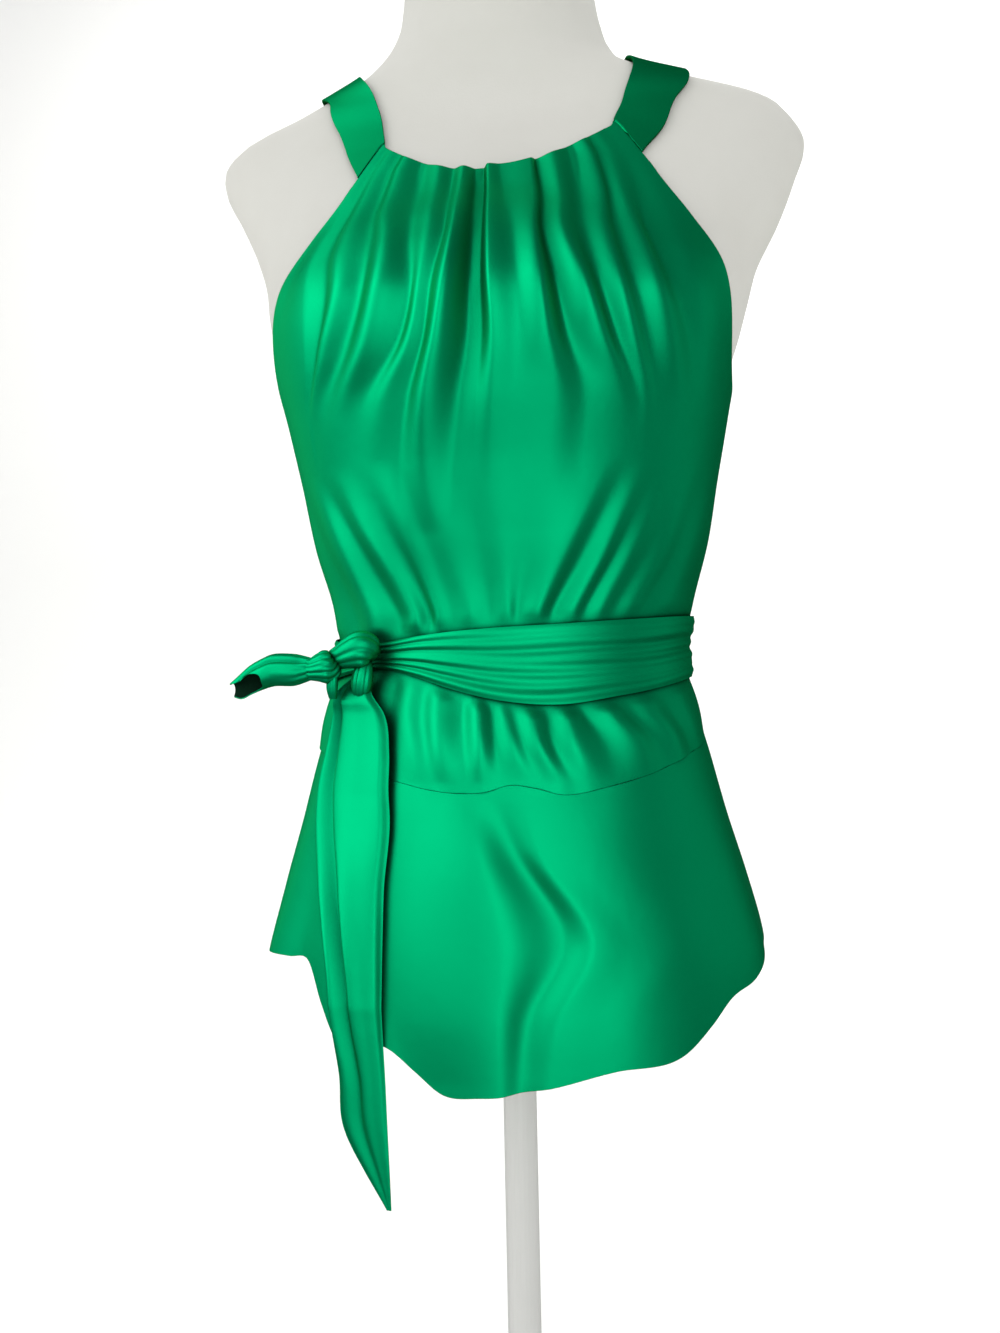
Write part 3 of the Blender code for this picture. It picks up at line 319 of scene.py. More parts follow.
BACK_HEM_FOLDS = (
    (((104, 0.515, 0.5), (104, 0.450, 4.0), (103, 0.392, 7.5)), (10, 9, 15, 14)),
    (((122, 0.512, 0.3), (123, 0.450, -2.0), (124, 0.375, -3.0)), (9, 9, 12, 12)),
    (((137, 0.512, 0.5), (139, 0.440, 4.5), (142, 0.355, 8.0)), (10, 9, 18, 15)),
    (((169, 0.510, 0.5), (170, 0.440, 4.0), (173, 0.345, 7.0)), (10, 10, 17, 17)),
    (((186, 0.510, 0.3), (186, 0.440, -2.0), (187, 0.345, -3.0)), (9, 9, 12, 12)),
    (((200, 0.510, 0.5), (201, 0.440, 4.5), (204, 0.348, 7.5)), (10, 10, 16, 18)),
    (((229, 0.512, 0.5), (231, 0.445, 4.0), (233, 0.368, 7.0)), (10, 10, 15, 16)),
    (((258, 0.515, 0.5), (258, 0.455, 4.0), (257, 0.395, 7.5)), (10, 10, 14, 14)),
)

# Halves of the neckband on the form, from the front end at the wearer's left or right to the nape:
# share, inner edge angle and height, outer edge angle and height
NECKBAND_LEFT = (
    (0.00, 50.4, 0.9160, 51.2, 0.8900),
    (0.10, 56.4, 0.9305, 60.0, 0.9095),
    (0.20, 61.0, 0.9490, 67.0, 0.9350),
    (0.30, 67.0, 0.9650, 74.5, 0.9575),
    (0.40, 78.0, 0.9780, 85.0, 0.9675),
    (0.50, 94.0, 0.9860, 97.0, 0.9690),
    (0.66, 122.0, 0.9940, 123.0, 0.9690),
    (0.83, 150.0, 0.9960, 151.0, 0.9660),
    (1.00, 180.0, 0.9970, 180.0, 0.9640),
)
NECKBAND_RIGHT = (
    (0.00, 50.6, 0.9165, 51.2, 0.8890),
    (0.10, 56.2, 0.9315, 60.4, 0.9105),
    (0.20, 61.2, 0.9500, 67.4, 0.9320),
    (0.30, 67.0, 0.9655, 74.0, 0.9560),
    (0.40, 78.0, 0.9780, 85.0, 0.9675),
    (0.50, 94.0, 0.9860, 97.0, 0.9690),
    (0.66, 122.0, 0.9940, 123.0, 0.9690),
    (0.83, 150.0, 0.9960, 151.0, 0.9660),
    (1.00, 180.0, 0.9970, 180.0, 0.9640),
)
ON_BODICE = 0.16  # share of a half over which it passes from the bodice onto the form
SEAM_SHAPED = 0.06  # share of a half over which it takes its seam's shape

# Sash round the waist: angle, height of its upper and lower edge
SASH = (
    (-52.0, 0.5950, 0.5790),
    (-41.0, 0.5960, 0.5800),
    (-29.0, 0.5990, 0.5750),
    (-18.0, 0.6010, 0.5685),
    (0.0, 0.6030, 0.5605),
    (22.0, 0.6045, 0.5570),
    (42.0, 0.6065, 0.5615),
    (75.0, 0.6100, 0.5700),
    (120.0, 0.6120, 0.5720),
    (180.0, 0.6100, 0.5690),
    (240.0, 0.6060, 0.5680),
    (275.0, 0.6010, 0.5710),
    (308.0, 0.5950, 0.5790),
)
# Lengthwise folds of the sash: place across it at angles -52, 0, 60, 180 and 308, half width as a
# share of its width, rise in millimetres
SASH_FOLDS = (
    ((0.10, 0.06, 0.10, 0.08, 0.10), 0.075, 1.6),
    ((0.30, 0.22, 0.24, 0.26, 0.30), 0.085, 2.2),
    ((0.46, 0.40, 0.44, 0.40, 0.46), 0.065, 1.5),
    ((0.58, 0.52, 0.62, 0.58, 0.58), 0.080, 2.3),
    ((0.74, 0.70, 0.76, 0.74, 0.74), 0.070, 1.6),
    ((0.90, 0.90, 0.90, 0.90, 0.90), 0.070, 1.9),
)
SASH_FOLD_ANGLES = (-52.0, 0.0, 60.0, 180.0, 308.0)
SASH_WANDER = 0.012  # how far a fold wanders to each side, as a share of the sash's width
SASH_WANDERS = 7  # times round the waist
SASH_FOLD_START = 20  # sets the wandering of one fold off from the next

# Hanging end: height, angle and lift in millimetres of its left edge, and of its right edge
TAIL = (
    (0.5760, -50.0, 8.0, -42.5, 8.0),
    (0.5667, -52.0, 15.0, -40.5, 12.0),
    (0.5530, -54.5, 11.0, -36.0, 9.0),
    (0.5290, -57.0, 6.0, -33.0, 6.0),
    (0.5060, -58.0, 4.5, -32.0, 4.5),
    (0.4930, -57.5, 4.0, -31.0, 4.0),
    (0.4500, -51.0, 4.0, -30.5, 4.0),
    (0.4290, -47.0, 4.0, -30.0, 4.0),
    (0.4050, -43.5, 4.0, -29.5, 4.0),
    (0.3700, -41.0, 4.0, -29.0, 4.0),
    (0.3450, -39.2, 4.0, -28.6, 4.0),
    (0.3150, -38.4, 4.0, -28.3, 4.0),
    (0.2900, -33.6, 4.0, -28.0, 4.0),
    (0.2690, -28.8, 4.0, -27.8, 4.0),
)
TAIL_HANGS = 0.385  # height below which it hangs straight down, off the skirt
TAIL_FULL = 0.030  # width from which its folds have their full height
TAIL_CLEAR = 0.0018  # least distance to the skirt
# Its lengthwise folds, lines as above: place across it at shares of its length, rise in millimetres
TAIL_LEVELS = (0.0, 0.14, 0.30, 0.37, 0.51, 0.65, 1.0)
TAIL_LINES = (
    ((0, 0, 0, 0, 0, 0, 0), (0, 0, 0, 0, 0, 0, 0)),
    ((0.10, 0.09, 0.13, 0.17, 0.18, 0.18, 0.20), (4.0, 5.5, 6.0, 6.0, 6.0, 4.5, 0.5)),
    ((0.23, 0.24, 0.30, 0.36, 0.37, 0.40, 0.50), (0.6, 0.2, 0, 0, 0, 0.2, 0)),
    ((0.36, 0.38, 0.46, 0.52, 0.53, 0.58, 0.66), (5.0, 6.8, 7.0, 6.8, 6.6, 5.0, 0.6)),
    ((0.60, 0.64, 0.68, 0.72, 0.72, 0.76, 0.78), (4.4, 4.8, 5.0, 5.0, 5.0, 3.8, 0.4)),
    ((0.90, 0.92, 0.93, 0.93, 0.93, 0.93, 0.93), (3.6, 3.8, 3.8, 3.6, 3.4, 2.6, 0.3)),
    ((1.001, 1.001, 1.001, 1.001, 1.001, 1.001, 1.001), (0, 0, 0, 0, 0, 0, 0)),
)

# Loop from the throat to its open end: centre x, y, z, half height, half thickness
LOOP = (
    (-0.1087, -0.0977, 0.5809, 0.0062, 0.0050),
    (-0.1140, -0.0970, 0.5807, 0.0079, 0.0060),
    (-0.1204, -0.0970, 0.5805, 0.0094, 0.0068),
    (-0.1321, -0.0968, 0.5807, 0.0096, 0.0074),
    (-0.1396, -0.0975, 0.5784, 0.0092, 0.0074),
    (-0.1473, -0.0977, 0.5749, 0.0086, 0.0070),
    (-0.1541, -0.0973, 0.5707, 0.0074, 0.0062),
    (-0.1602, -0.0968, 0.5686, 0.0046, 0.0050),
)
LOOP_NEAR_CUT = 0.46  # share by which its near wall is shorter, so that its inside shows
LOOP_CUT_TURN = 0.6  # radians by which that slant is turned
LOOP_GATHERS = 11  # ripples round it at the throat
LOOP_GATHER_TURN = 1.0
LOOP_GATHER_DEPTH = 0.07  # as a share of its half height
LOOP_GATHERS_END = 2.2  # they end at one part in this of its length

# Rolls of cloth that make up the knot and the throat of the loop: centre x, y, z and half height
KNOT_WRAP = (
    (-0.0998, -0.0938, 0.5856, 0.0021),
    (-0.0970, -0.0943, 0.5861, 0.0055),
    (-0.0911, -0.0949, 0.5878, 0.0076),
    (-0.0848, -0.0949, 0.5901, 0.0100),
    (-0.0787, -0.0940, 0.5918, 0.0118),
    (-0.0737, -0.0917, 0.5917, 0.0104),
    (-0.0707, -0.0892, 0.5905, 0.0064),
    (-0.0692, -0.0869, 0.5898, 0.0018),
)
KNOT_RIGHT = (
    (-0.0760, -0.0910, 0.5857, 0.0037),
    (-0.0766, -0.0936, 0.5802, 0.0058),
    (-0.0776, -0.0948, 0.5742, 0.0067),
    (-0.0786, -0.0940, 0.5681, 0.0061),
    (-0.0795, -0.0916, 0.5626, 0.0043),
)
KNOT_LEFT = (
    (-0.0934, -0.0938, 0.5854, 0.0024),
    (-0.0941, -0.0969, 0.5806, 0.0033),
    (-0.0951, -0.0981, 0.5746, 0.0036),
    (-0.0958, -0.0972, 0.5685, 0.0036),
    (-0.0960, -0.0952, 0.5629, 0.0027),
)
THROAT_ROLL = (
    (-0.0941, -0.0939, 0.5836, 0.0049),
    (-0.0963, -0.0968, 0.5822, 0.0091),
    (-0.0994, -0.0988, 0.5819, 0.0103),
    (-0.1030, -0.0993, 0.5814, 0.0088),
    (-0.1070, -0.0990, 0.5809, 0.0073),
    (-0.1113, -0.0976, 0.5812, 0.0064),
    (-0.1148, -0.0967, 0.5810, 0.0055),
    (-0.1176, -0.0961, 0.5811, 0.0024),
)
ROLL_FACES = (-0.15, -0.99, 0.0)  # the way the rolls' flat sides face
ROLL_DEPTH = 0.72  # their depth as a share of their height
# Creases along a roll or the loop: radians round it from its upper or right edge over the front, half
# width, and depth as a share of the radius
WRAP_CREASES = ((0.75, 0.12, -0.08), (1.15, 0.20, 0.05), (1.62, 0.12, -0.12), (2.25, 0.14, -0.10))
RIGHT_CREASES = ((0.9, 0.14, -0.10), (1.9, 0.12, -0.14), (2.5, 0.12, -0.06))
LEFT_CREASES = ((1.2, 0.20, -0.08),)
THROAT_CREASES = (
    (0.7, 0.10, -0.10),
    (1.2, 0.09, -0.13),
    (1.65, 0.08, -0.10),
    (2.1, 0.09, -0.13),
    (2.6, 0.1, -0.08),
)
LOOP_CREASES = ((0.95, 0.20, -0.20), (1.9, 0.5, 0.12))


def smooth(share):
    """A soft step from 0 to 1."""
    share = np.clip(share, 0, 1)
    return share * share * (3 - 2 * share)


def through(table, at):
    """Each further column of a table at places of its first column, on a smooth line through the rows."""
    rows = np.asarray(table, float)
    place, values = rows[:, 0], rows[:, 1:]
    slope = np.gradient(values, place, axis=0)
    at = np.clip(np.asarray(at, float), place[0], place[-1])
    row = np.clip(np.searchsorted(place, at, side="right") - 1, 0, len(place) - 2)
    step = (place[row + 1] - place[row])[..., None]
    part = (at - place[row])[..., None] / step
    start = values[row] * (2 * part**3 - 3 * part**2 + 1)
    start_slope = slope[row] * step * (part**3 - 2 * part**2 + part)
    end = values[row + 1] * (3 * part**2 - 2 * part**3)
    end_slope = slope[row + 1] * step * (part**3 - part**2)
    return np.moveaxis(start + start_slope + end + end_slope, -1, 0)


def section_radius(sections, angle, height):
    """Distance from the axis to a rounded outline, at an angle and a height."""
    *widths, front, back, square = through(sections, height)
    turn = np.radians(angle)
    wide = np.where(np.sin(turn) > 0, widths[-1], widths[0])
    deep = np.where(np.cos(turn) > 0, front, back)
    across = (np.abs(np.sin(turn)) / wide) ** square
    along = (np.abs(np.cos(turn)) / deep) ** square
    return (across + along) ** (-1 / square)


def fold_height(folds, angle, height):
    """How far the creases stand out of the cloth, in metres."""
    out = np.zeros(np.broadcast(angle, height).shape)
    base = section_radius(CLOTH_SECTIONS, angle, height)
    for points, (top_left, top_right, foot_left, foot_right) in folds:
        top_z, foot_z = points[0][1], points[-1][1]
        centre, rise = through([(z, a, h) for a, z, h in reversed(points)], height)
        share = np.clip((top_z - height) / (top_z - foot_z), 0, 1)
        away = np.radians((angle - centre + 180) % 360 - 180) * base
        left = top_left + (foot_left - top_left) * share
        right = top_right + (foot_right - top_right) * share
        width = np.where(away > 0, right, left) / 1000
        past = np.maximum(np.maximum(height - top_z, foot_z - height), 0)
        fade = np.exp(-((past / FOLD_FADE) ** 2))
        rise = np.sign(points[1][2]) * np.maximum(rise * np.sign(points[1][2]), 0)
        out = out + rise / 1000 * np.exp(-((away / width) ** 2)) * fade
    return out


def gathered(levels, lines, across, along):
    """Height of cloth in pleats whose crests and hollows run through the lines, in metres."""
    rows = [through(list(zip(levels, place, rise))[::-1], along) for place, rise in lines]
    place, rise = np.array([at for at, _ in rows]), np.array([up for _, up in rows])
    step = np.diff(place, axis=0)
    climb = np.diff(rise, axis=0) / step
    together = climb[1:] * climb[:-1]
    on = together > 0
    slope = np.zeros(place.shape)
    slope[1:-1] = np.where(on, 2 * together / np.where(on, climb[1:] + climb[:-1], 1), 0)
    out = np.zeros(np.broadcast(across, along).shape)
    for k in range(len(step)):
        share = np.clip((across - place[k]) / step[k], 0, 1)
        left, right = (1 - share) ** 2, share**2
        curve = rise[k] * (1 + 2 * share) * left + rise[k + 1] * (3 - 2 * share) * right
        curve = curve + (slope[k] * left * share - slope[k + 1] * right * (1 - share)) * step[k]
        out = np.where((across >= place[k]) & (across < place[k + 1]), curve, out)
    return out / 1000


def neckline_pleats(angle, height):
    top = gathered(TOP_LEVELS, TOP_LINES, angle, height)
    return top + gathered(WAIST_LEVELS, WAIST_LINES, angle, height)


def low_pleats(angle, height):
    return gathered(LOW_LEVELS, LOW_LINES, angle, height)


def hem_waves(angle, height):
    return gathered(HEM_LEVELS, HEM_LINES, angle, height)


def tail_lines(across, fall):
    levels = tuple(1 - level for level in TAIL_LEVELS)
    return gathered(levels, TAIL_LINES, across, 1 - fall)


def back_creases(angle, height):
    return fold_height(BACK_FOLDS, angle, height)


def back_waves(angle, height):
    return fold_height(BACK_HEM_FOLDS, angle, height)


def sash_edges(angle):
    start = SASH[0][0]
    return through(SASH, (angle - start) % 360 + start)


def sash_cover(angle, height):
    """1 under the sash, fading to 0 past its edges."""
    top, bottom = sash_edges(angle)
    inside = np.minimum(top - height, height - bottom)
    return smooth(inside / PRESSED_EDGE + 1)


def polar(angle, radius, height):
    turn = np.radians(angle)
    return np.stack([radius * np.sin(turn), -radius * np.cos(turn), height + 0 * radius], -1)


def cloth_point(angle, height, folds=None, lift=0.0):
    """Points of the blouse at angles of the blouse and heights, moved out by lift."""
    form_angle = angle + TURN
    on_form = section_radius(FORM_SECTIONS, form_angle, height) + FORM_AIR
    own = section_radius(CLOTH_SECTIONS, angle, height)
    radius = (on_form + own + np.sqrt((on_form - own) ** 2 + FORM_BLEND**2)) / 2
    left_over = 1 - PRESSED_FLAT * sash_cover(angle, height)
    rise = folds(angle, height) if folds else 0
    floor = on_form - radius
    radius = radius + np.maximum(rise * left_over, floor) + lift
    return polar(form_angle, radius, height)


def form_point(angle, height, lift=0.0):
    """Points of the dress form, moved out square to its skin by lift."""
    small = 0.5  # degrees, and millimetres up

    def at(place, up):
        return polar(place, section_radius(FORM_SECTIONS, place, up), up)

    round_it = at(angle + small, height) - at(angle - small, height)
    upwards = at(angle, height + small / 1000) - at(angle, height - small / 1000)
    normal = np.cross(round_it, upwards)
    normal /= np.linalg.norm(normal, axis=-1, keepdims=True)
    return at(angle, height) + normal * lift


# Materials

# Scales of the patterns
CLOUD_SCALE = 9.0  # patches about 110 mm across
HANDLING_SCALE = 60.0  # marks about 17 mm across
WEAVE_SCALE = 620.0  # bands about 0.6 mm apart, as the satin's threads of 0.1 mm are too fine to show
COVER_CLOUD_SCALE = 14.0  # patches about 70 mm across
KNIT_SCALE = 900.0  # grain of about 1 mm, the size of the jersey's loops
# Painted shade in folds, for the light lost between their walls: how far one darkens the next, the shares
# of open sky between which that runs, and the share of the colour that is left
FOLD_SHADE_REACH = 0.020
SKY_IN_FOLD = 0.50
SKY_OUTSIDE = 0.97
SHADED_COLOUR_IN_FOLD = 0.22


def srgb(code):
    """A colour written as #rrggbb, as linear values."""
    parts = [int(code[i : i + 2], 16) / 255 for i in (1, 3, 5)]
    return [p / 12.92 if p <= 0.04045 else ((p + 0.055) / 1.055) ** 2.4 for p in parts] + [1.0]


def add_node(tree, kind, inputs=None, **settings):
    """A shader node with its settings and inputs; an input may be a value or another node's output."""
    made = tree.nodes.new(kind)
    for name, value in settings.items():
        setattr(made, name, value)
    for name, value in (inputs or {}).items():
        if isinstance(value, bpy.types.NodeSocket):
            tree.links.new(value, made.inputs[name])
        else:
            made.inputs[name].default_value = value
    return made


def new_material(name):
    made = bpy.data.materials.new(name)
    made.use_nodes = True
    return made, made.node_tree, made.node_tree.nodes["Principled BSDF"]


def satin_material(name, colour, shade):
    """Woven polyester satin: its long smooth threads mirror softly, in the cloth's own green, with
    painted shade darkening it in deep folds.
    """
    made, tree, shader = new_material(name)
    place = add_node(tree, "ShaderNodeTexCoord").outputs["Object"]
    cloudy = add_node(
        tree,
        "ShaderNodeTexNoise",
        {"Vector": place, "Scale": CLOUD_SCALE, "Detail": 3.0, "Roughness": 0.55},
    )
    tint = add_node(
        tree,
        "ShaderNodeMix",
        {"Factor": cloudy.outputs["Fac"], "A": srgb(colour), "B": srgb(shade)},
        data_type="RGBA",
    )
    # Painted shade: in deep folds the colour is darkened, as satin there reflects satin only and looks
    # darker
    sky = add_node(tree, "ShaderNodeAmbientOcclusion", {"Distance": FOLD_SHADE_REACH}, samples=8)
    fold_shade_share = add_node(
        tree,
        "ShaderNodeMapRange",
        {
            "Value": sky.outputs["AO"],
            "From Min": SKY_IN_FOLD,
            "From Max": SKY_OUTSIDE,
            "To Min": SHADED_COLOUR_IN_FOLD,
        },
    )
    painted_fold_shade = add_node(
        tree,
        "ShaderNodeVectorMath",
        {0: tint.outputs["Result"], "Scale": fold_shade_share.outputs["Result"]},
        operation="SCALE",
    )
    shader.inputs["Base Color"].default_value = srgb(colour)
    tree.links.new(painted_fold_shade.outputs["Vector"], shader.inputs["Base Color"])
    shader.inputs["Metallic"].default_value = 0.90
    shader.inputs["Roughness"].default_value = 0.48
    shader.inputs["Specular IOR Level"].default_value = 0.05
    shader.inputs["Specular Tint"].default_value = srgb("#10e0a0")
    weave = add_node(
        tree,
        "ShaderNodeTexWave",
        {"Vector": place, "Scale": WEAVE_SCALE, "Distortion": 1.5, "Detail": 1.0},
        bands_direction="DIAGONAL",
    )
    soft = add_node(
        tree,
        "ShaderNodeTexNoise",
        {"Vector": place, "Scale": HANDLING_SCALE, "Detail": 4.0, "Roughness": 0.6},
    )
    fine = add_node(
        tree,
        "ShaderNodeBump",
        {"Strength": 0.04, "Distance": 0.0002, "Height": weave.outputs["Fac"]},
    )
    marks = add_node(
        tree,
        "ShaderNodeBump",
        {
            "Strength": 0.12,
            "Distance": 0.0015,
            "Height": soft.outputs["Fac"],
            "Normal": fine.outputs["Normal"],
        },
    )
    tree.links.new(marks.outputs["Normal"], shader.inputs["Normal"])
    return made


def cover_material():
    """Knitted jersey drawn over the form: matt, with a faint unevenness."""
    made, tree, shader = new_material("cotton jersey cover")
    place = add_node(tree, "ShaderNodeTexCoord").outputs["Object"]
    cloudy = add_node(
        tree,
        "ShaderNodeTexNoise",
        {"Vector": place, "Scale": COVER_CLOUD_SCALE, "Detail": 5.0, "Roughness": 0.6},
    )
    tint = add_node(
        tree,
        "ShaderNodeMix",
        {"Factor": cloudy.outputs["Fac"], "A": srgb("#dcdcd6"), "B": srgb("#d2d1ca")},
        data_type="RGBA",
    )
    tree.links.new(tint.outputs["Result"], shader.inputs["Base Color"])
    shader.inputs["Roughness"].default_value = 0.85
    shader.inputs["Specular IOR Level"].default_value = 0.2
    knit = add_node(
        tree, "ShaderNodeTexNoise", {"Vector": place, "Scale": KNIT_SCALE, "Detail": 2.0}
    )
    bump = add_node(
        tree, "ShaderNodeBump", {"Strength": 0.15, "Distance": 0.0004, "Height": knit.outputs["Fac"]}
    )
    tree.links.new(bump.outputs["Normal"], shader.inputs["Normal"])
    return made


def plain_material(name, colour, roughness, metallic=0.0):
    made, _, shader = new_material(name)
    shader.inputs["Base Color"].default_value = srgb(colour)
    shader.inputs["Roughness"].default_value = roughness
    shader.inputs["Metallic"].default_value = metallic
    return made


SATIN_GREEN = satin_material("polyester satin, emerald", "#01b274", "#01a66b")
BAND_GREEN = satin_material("polyester satin, emerald, of the neckband", "#019a60", "#018e57")
# Satin's wrong side, deep in the loop: dull, and painted nearly black as the shade inside the loop
SHADED_WRONG_SIDE = plain_material("polyester satin, dull wrong side, painted shade dark green", "#00301c", 0.9, 0.8)
COVER = cover_material()
# Stoved white enamel: smooth, with soft highlights
ENAMEL = plain_material("white enamelled steel", "#d9d9d6", 0.35)

# Meshes


def grid_faces(rows, columns, round_columns=False):
    across = columns if round_columns else columns - 1
    i, j = np.meshgrid(np.arange(rows - 1), np.arange(across), indexing="ij")
    beside = (j + 1) % columns
    corners = [i * columns + j, (i + 1) * columns + j, (i + 1) * columns + beside, i * columns + beside]
    return np.stack([c.ravel() for c in corners], -1)


def new_piece(name, points, faces, material, node, slot):
    mesh = bpy.data.meshes.new(name)
    mesh.from_pydata(points.reshape(-1, 3).tolist(), [], [list(map(int, face)) for face in faces])
    mesh.materials.append(material)
    mesh.shade_smooth()
    piece = bpy.data.objects.new(f"{slot}_{name}", mesh)
    scene.collection.objects.link(piece)
    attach(piece, "root")
    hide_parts(node)
    return piece


def edged(points):
    """The same grid with a narrow margin along its first and last rows."""
    first = points[:1] + EDGE_MARGIN * (points[1:2] - points[:1])
    last = points[-1:] + EDGE_MARGIN * (points[-2:-1] - points[-1:])
    return np.concatenate([points[:1], first, points[1:-1], last, points[-1:]])


def cloth_piece(name, points, node, wall=SATIN, material=None, round_columns=False):
    """A grid of points as a thin sheet with a wall."""
    points = edged(points)
    if not round_columns:
        points = edged(points.swapaxes(0, 1)).swapaxes(0, 1)
    faces = grid_faces(*points.shape[:2], round_columns)
    piece = new_piece(name, points, faces, material or SATIN_GREEN, node, "satin")
    solid = piece.modifiers.new("wall", "SOLIDIFY")
    solid.thickness = wall
    solid.offset = 0.0
    return piece


def stacked(name, rings, material, node, slot):
    rows, steps = rings.shape[:2]
    faces = [list(face[::-1]) for face in grid_faces(rows, steps, round_columns=True)]
    faces.append(list(range(steps))[::-1])
    faces.append(list(range((rows - 1) * steps, rows * steps)))
    return new_piece(name, rings, faces, material, node, slot)


# Pieces


def front_columns(count):
    """Signed shares across the front, closer together at the gathers."""
    even = np.linspace(-1, 1, count)
    return even * (1 - CROWDING + CROWDING * even**2)


def front_bodice_top():
    """The front from its neckline and armholes down to the middle of the sash."""
    columns, rows = 400, 105
    share = front_columns(columns)
    side = np.sign(share)
    top_angle, top_z = through(TOP_EDGE, np.abs(share))
    (foot_angle,) = through(FOOT_ANGLES, np.abs(share))
    top_angle = np.minimum(top_angle, SIDE_SEAM - SEAM_TRIM) * side
    foot_angle = np.minimum(foot_angle, SIDE_SEAM - SEAM_TRIM) * side
    (foot_z,) = through(HIP_SEAM, foot_angle)
    sash_top, sash_bottom = sash_edges(foot_angle)
    end_z = (sash_top + sash_bottom) / 2
    height = top_z + (end_z - top_z) * np.linspace(0, 1, rows)[:, None]
    down = (top_z - height) / (top_z - foot_z)
    angle = foot_angle + (top_angle - foot_angle) * (1 - down) ** FANNING
    points = cloth_point(angle, height, neckline_pleats)
    return cloth_piece("front_bodice", points[::-1], "front_bodice")


def low_bodice(name, node, start, end, folds, columns):
    """The part of a bodice panel from the middle of the sash down to the hip seam."""
    rows = 44
    angle = np.linspace(start + SEAM_TRIM, end - SEAM_TRIM, columns)
    top_z, bottom_z = sash_edges(angle)
    top_z = (top_z + bottom_z) / 2 - EDGE_TRIM
    foot_z = through(HIP_SEAM, angle)[0] + EDGE_TRIM / 2
    place = np.linspace(0, 1, rows)[:, None]
    height = top_z + (foot_z - top_z) * place
    below_sash = np.clip((bottom_z - height) / (bottom_z - foot_z), 0, 1)
    puff = HIP_PUFF * np.sin(math.pi * below_sash) ** PUFF_POWER
    points = cloth_point(angle + 0 * height, height, folds, puff)
    return cloth_piece(name, points[::-1], node)


def back_bodice_top():
    """The back from its straight top edge down to the middle of the sash."""
    columns, rows = 200, 70
    angle = np.linspace(SIDE_SEAM + SEAM_TRIM, 360 - SIDE_SEAM - SEAM_TRIM, columns)
    (top_z,) = through(BACK_TOP, angle)
    sash_top, sash_bottom = sash_edges(angle)
    end_z = (sash_top + sash_bottom) / 2
    height = top_z + (end_z - top_z) * np.linspace(0, 1, rows)[:, None]
    points = cloth_point(angle + 0 * height, height, back_creases)
    return cloth_piece("back_bodice", points[::-1], "back_bodice")


def hem_panel(name, start, end, hem, folds, columns):
    rows = 80
    angle = np.linspace(start + SEAM_TRIM, end - SEAM_TRIM, columns)
    top_z = through(HIP_SEAM, angle)[0] - EDGE_TRIM / 2
    (foot_z,) = through(hem, angle)
    height = top_z + (foot_z - top_z) * np.linspace(0, 1, rows)[:, None]
    points = cloth_point(angle + 0 * height, height, folds)
    return cloth_piece(name, points[::-1], name)


def neckband():
    """The band from one front corner round the nape to the other."""
    along, across = 260, 18
    share = np.linspace(-1, 1, along)
    to_end = np.abs(share)
    on_left = through(NECKBAND_LEFT, 1 - to_end)
    on_right = through(NECKBAND_RIGHT, 1 - to_end)
    inner_angle, inner_z, outer_angle, outer_z = np.where(share < 0, on_left, on_right)
    width = np.linspace(0, 1, across)[:, None]
    angle = inner_angle + (outer_angle - inner_angle) * width
    height = inner_z + (outer_z - inner_z) * width
    seam_angle, seam_z = through(TOP_EDGE, BAND_SEAM[0] + (BAND_SEAM[1] - BAND_SEAM[0]) * width)
    at_seam = np.clip(1 - (1 - to_end) / SEAM_SHAPED, 0, 1)
    angle = angle + (seam_angle + BAND_SEAM_TURN - angle) * at_seam
    height = height + (seam_z + EDGE_TRIM - height) * at_seam
    angle = np.where(share < 0, angle, 360 - angle)
    on_form = form_point(angle + TURN, height, BAND_LIFT)
    on_bodice = cloth_point(angle, height)
    passed = smooth(1 - (1 - to_end) / ON_BODICE)[None, :, None]
    points = on_form + (on_bodice - on_form) * passed
    return cloth_piece("neckband", points[::-1], "neckband", BAND_WALL, BAND_GREEN)


def sash_wrap():
    """The sash's ring round the waist, with its lengthwise folds."""
    along, across = 420, 44
    angle = np.linspace(SASH[0][0], SASH[0][0] + 360, along, endpoint=False)
    top, bottom = sash_edges(angle)
    place = np.linspace(0, 1, across)[:, None]
    height = top + (bottom - top) * place
    rise = 0
    for places, half, deep in SASH_FOLDS:
        (middle,) = through(list(zip(SASH_FOLD_ANGLES, places)), angle)
        round_waist = np.radians(angle) * SASH_WANDERS + SASH_FOLD_START * half
        middle = middle + SASH_WANDER * np.sin(round_waist)
        rise = rise + deep / 1000 * np.exp(-(((place - middle) / half) ** 2))
    points = cloth_point(angle + 0 * height, height, lift=SASH_LIFT + rise)
    return cloth_piece("sash_wrap", points[::-1], "sash_wrap", round_columns=True)


def creased(turn, creases):
    """What the creases add to the radius, as a share of it."""
    return sum(deep * np.exp(-(((turn - at) / wide) ** 2)) for at, wide, deep in creases)


def roll(path, creases, count=56, steps=72):
    """Rings of a soft roll along a path, flattened towards the way the rolls face."""
    rows = [(i / (len(path) - 1), *row) for i, row in enumerate(path)]
    x, y, z, half = through(rows, np.linspace(0, 1, count))
    centre = np.stack([x, y, z], -1)
    run = np.gradient(centre, axis=0)
    run /= np.linalg.norm(run, axis=-1, keepdims=True)
    side = np.cross(np.array(ROLL_FACES), run)
    side /= np.linalg.norm(side, axis=-1, keepdims=True)
    out = np.cross(run, side)
    turn = np.linspace(0, 2 * math.pi, steps, endpoint=False)
    size = half[:, None] * (1 + creased(turn, creases))
    across = (size * np.cos(turn))[..., None] * side[:, None]
    outwards = (size * ROLL_DEPTH * np.sin(turn))[..., None] * out[:, None]
    return centre[:, None] + across + outwards


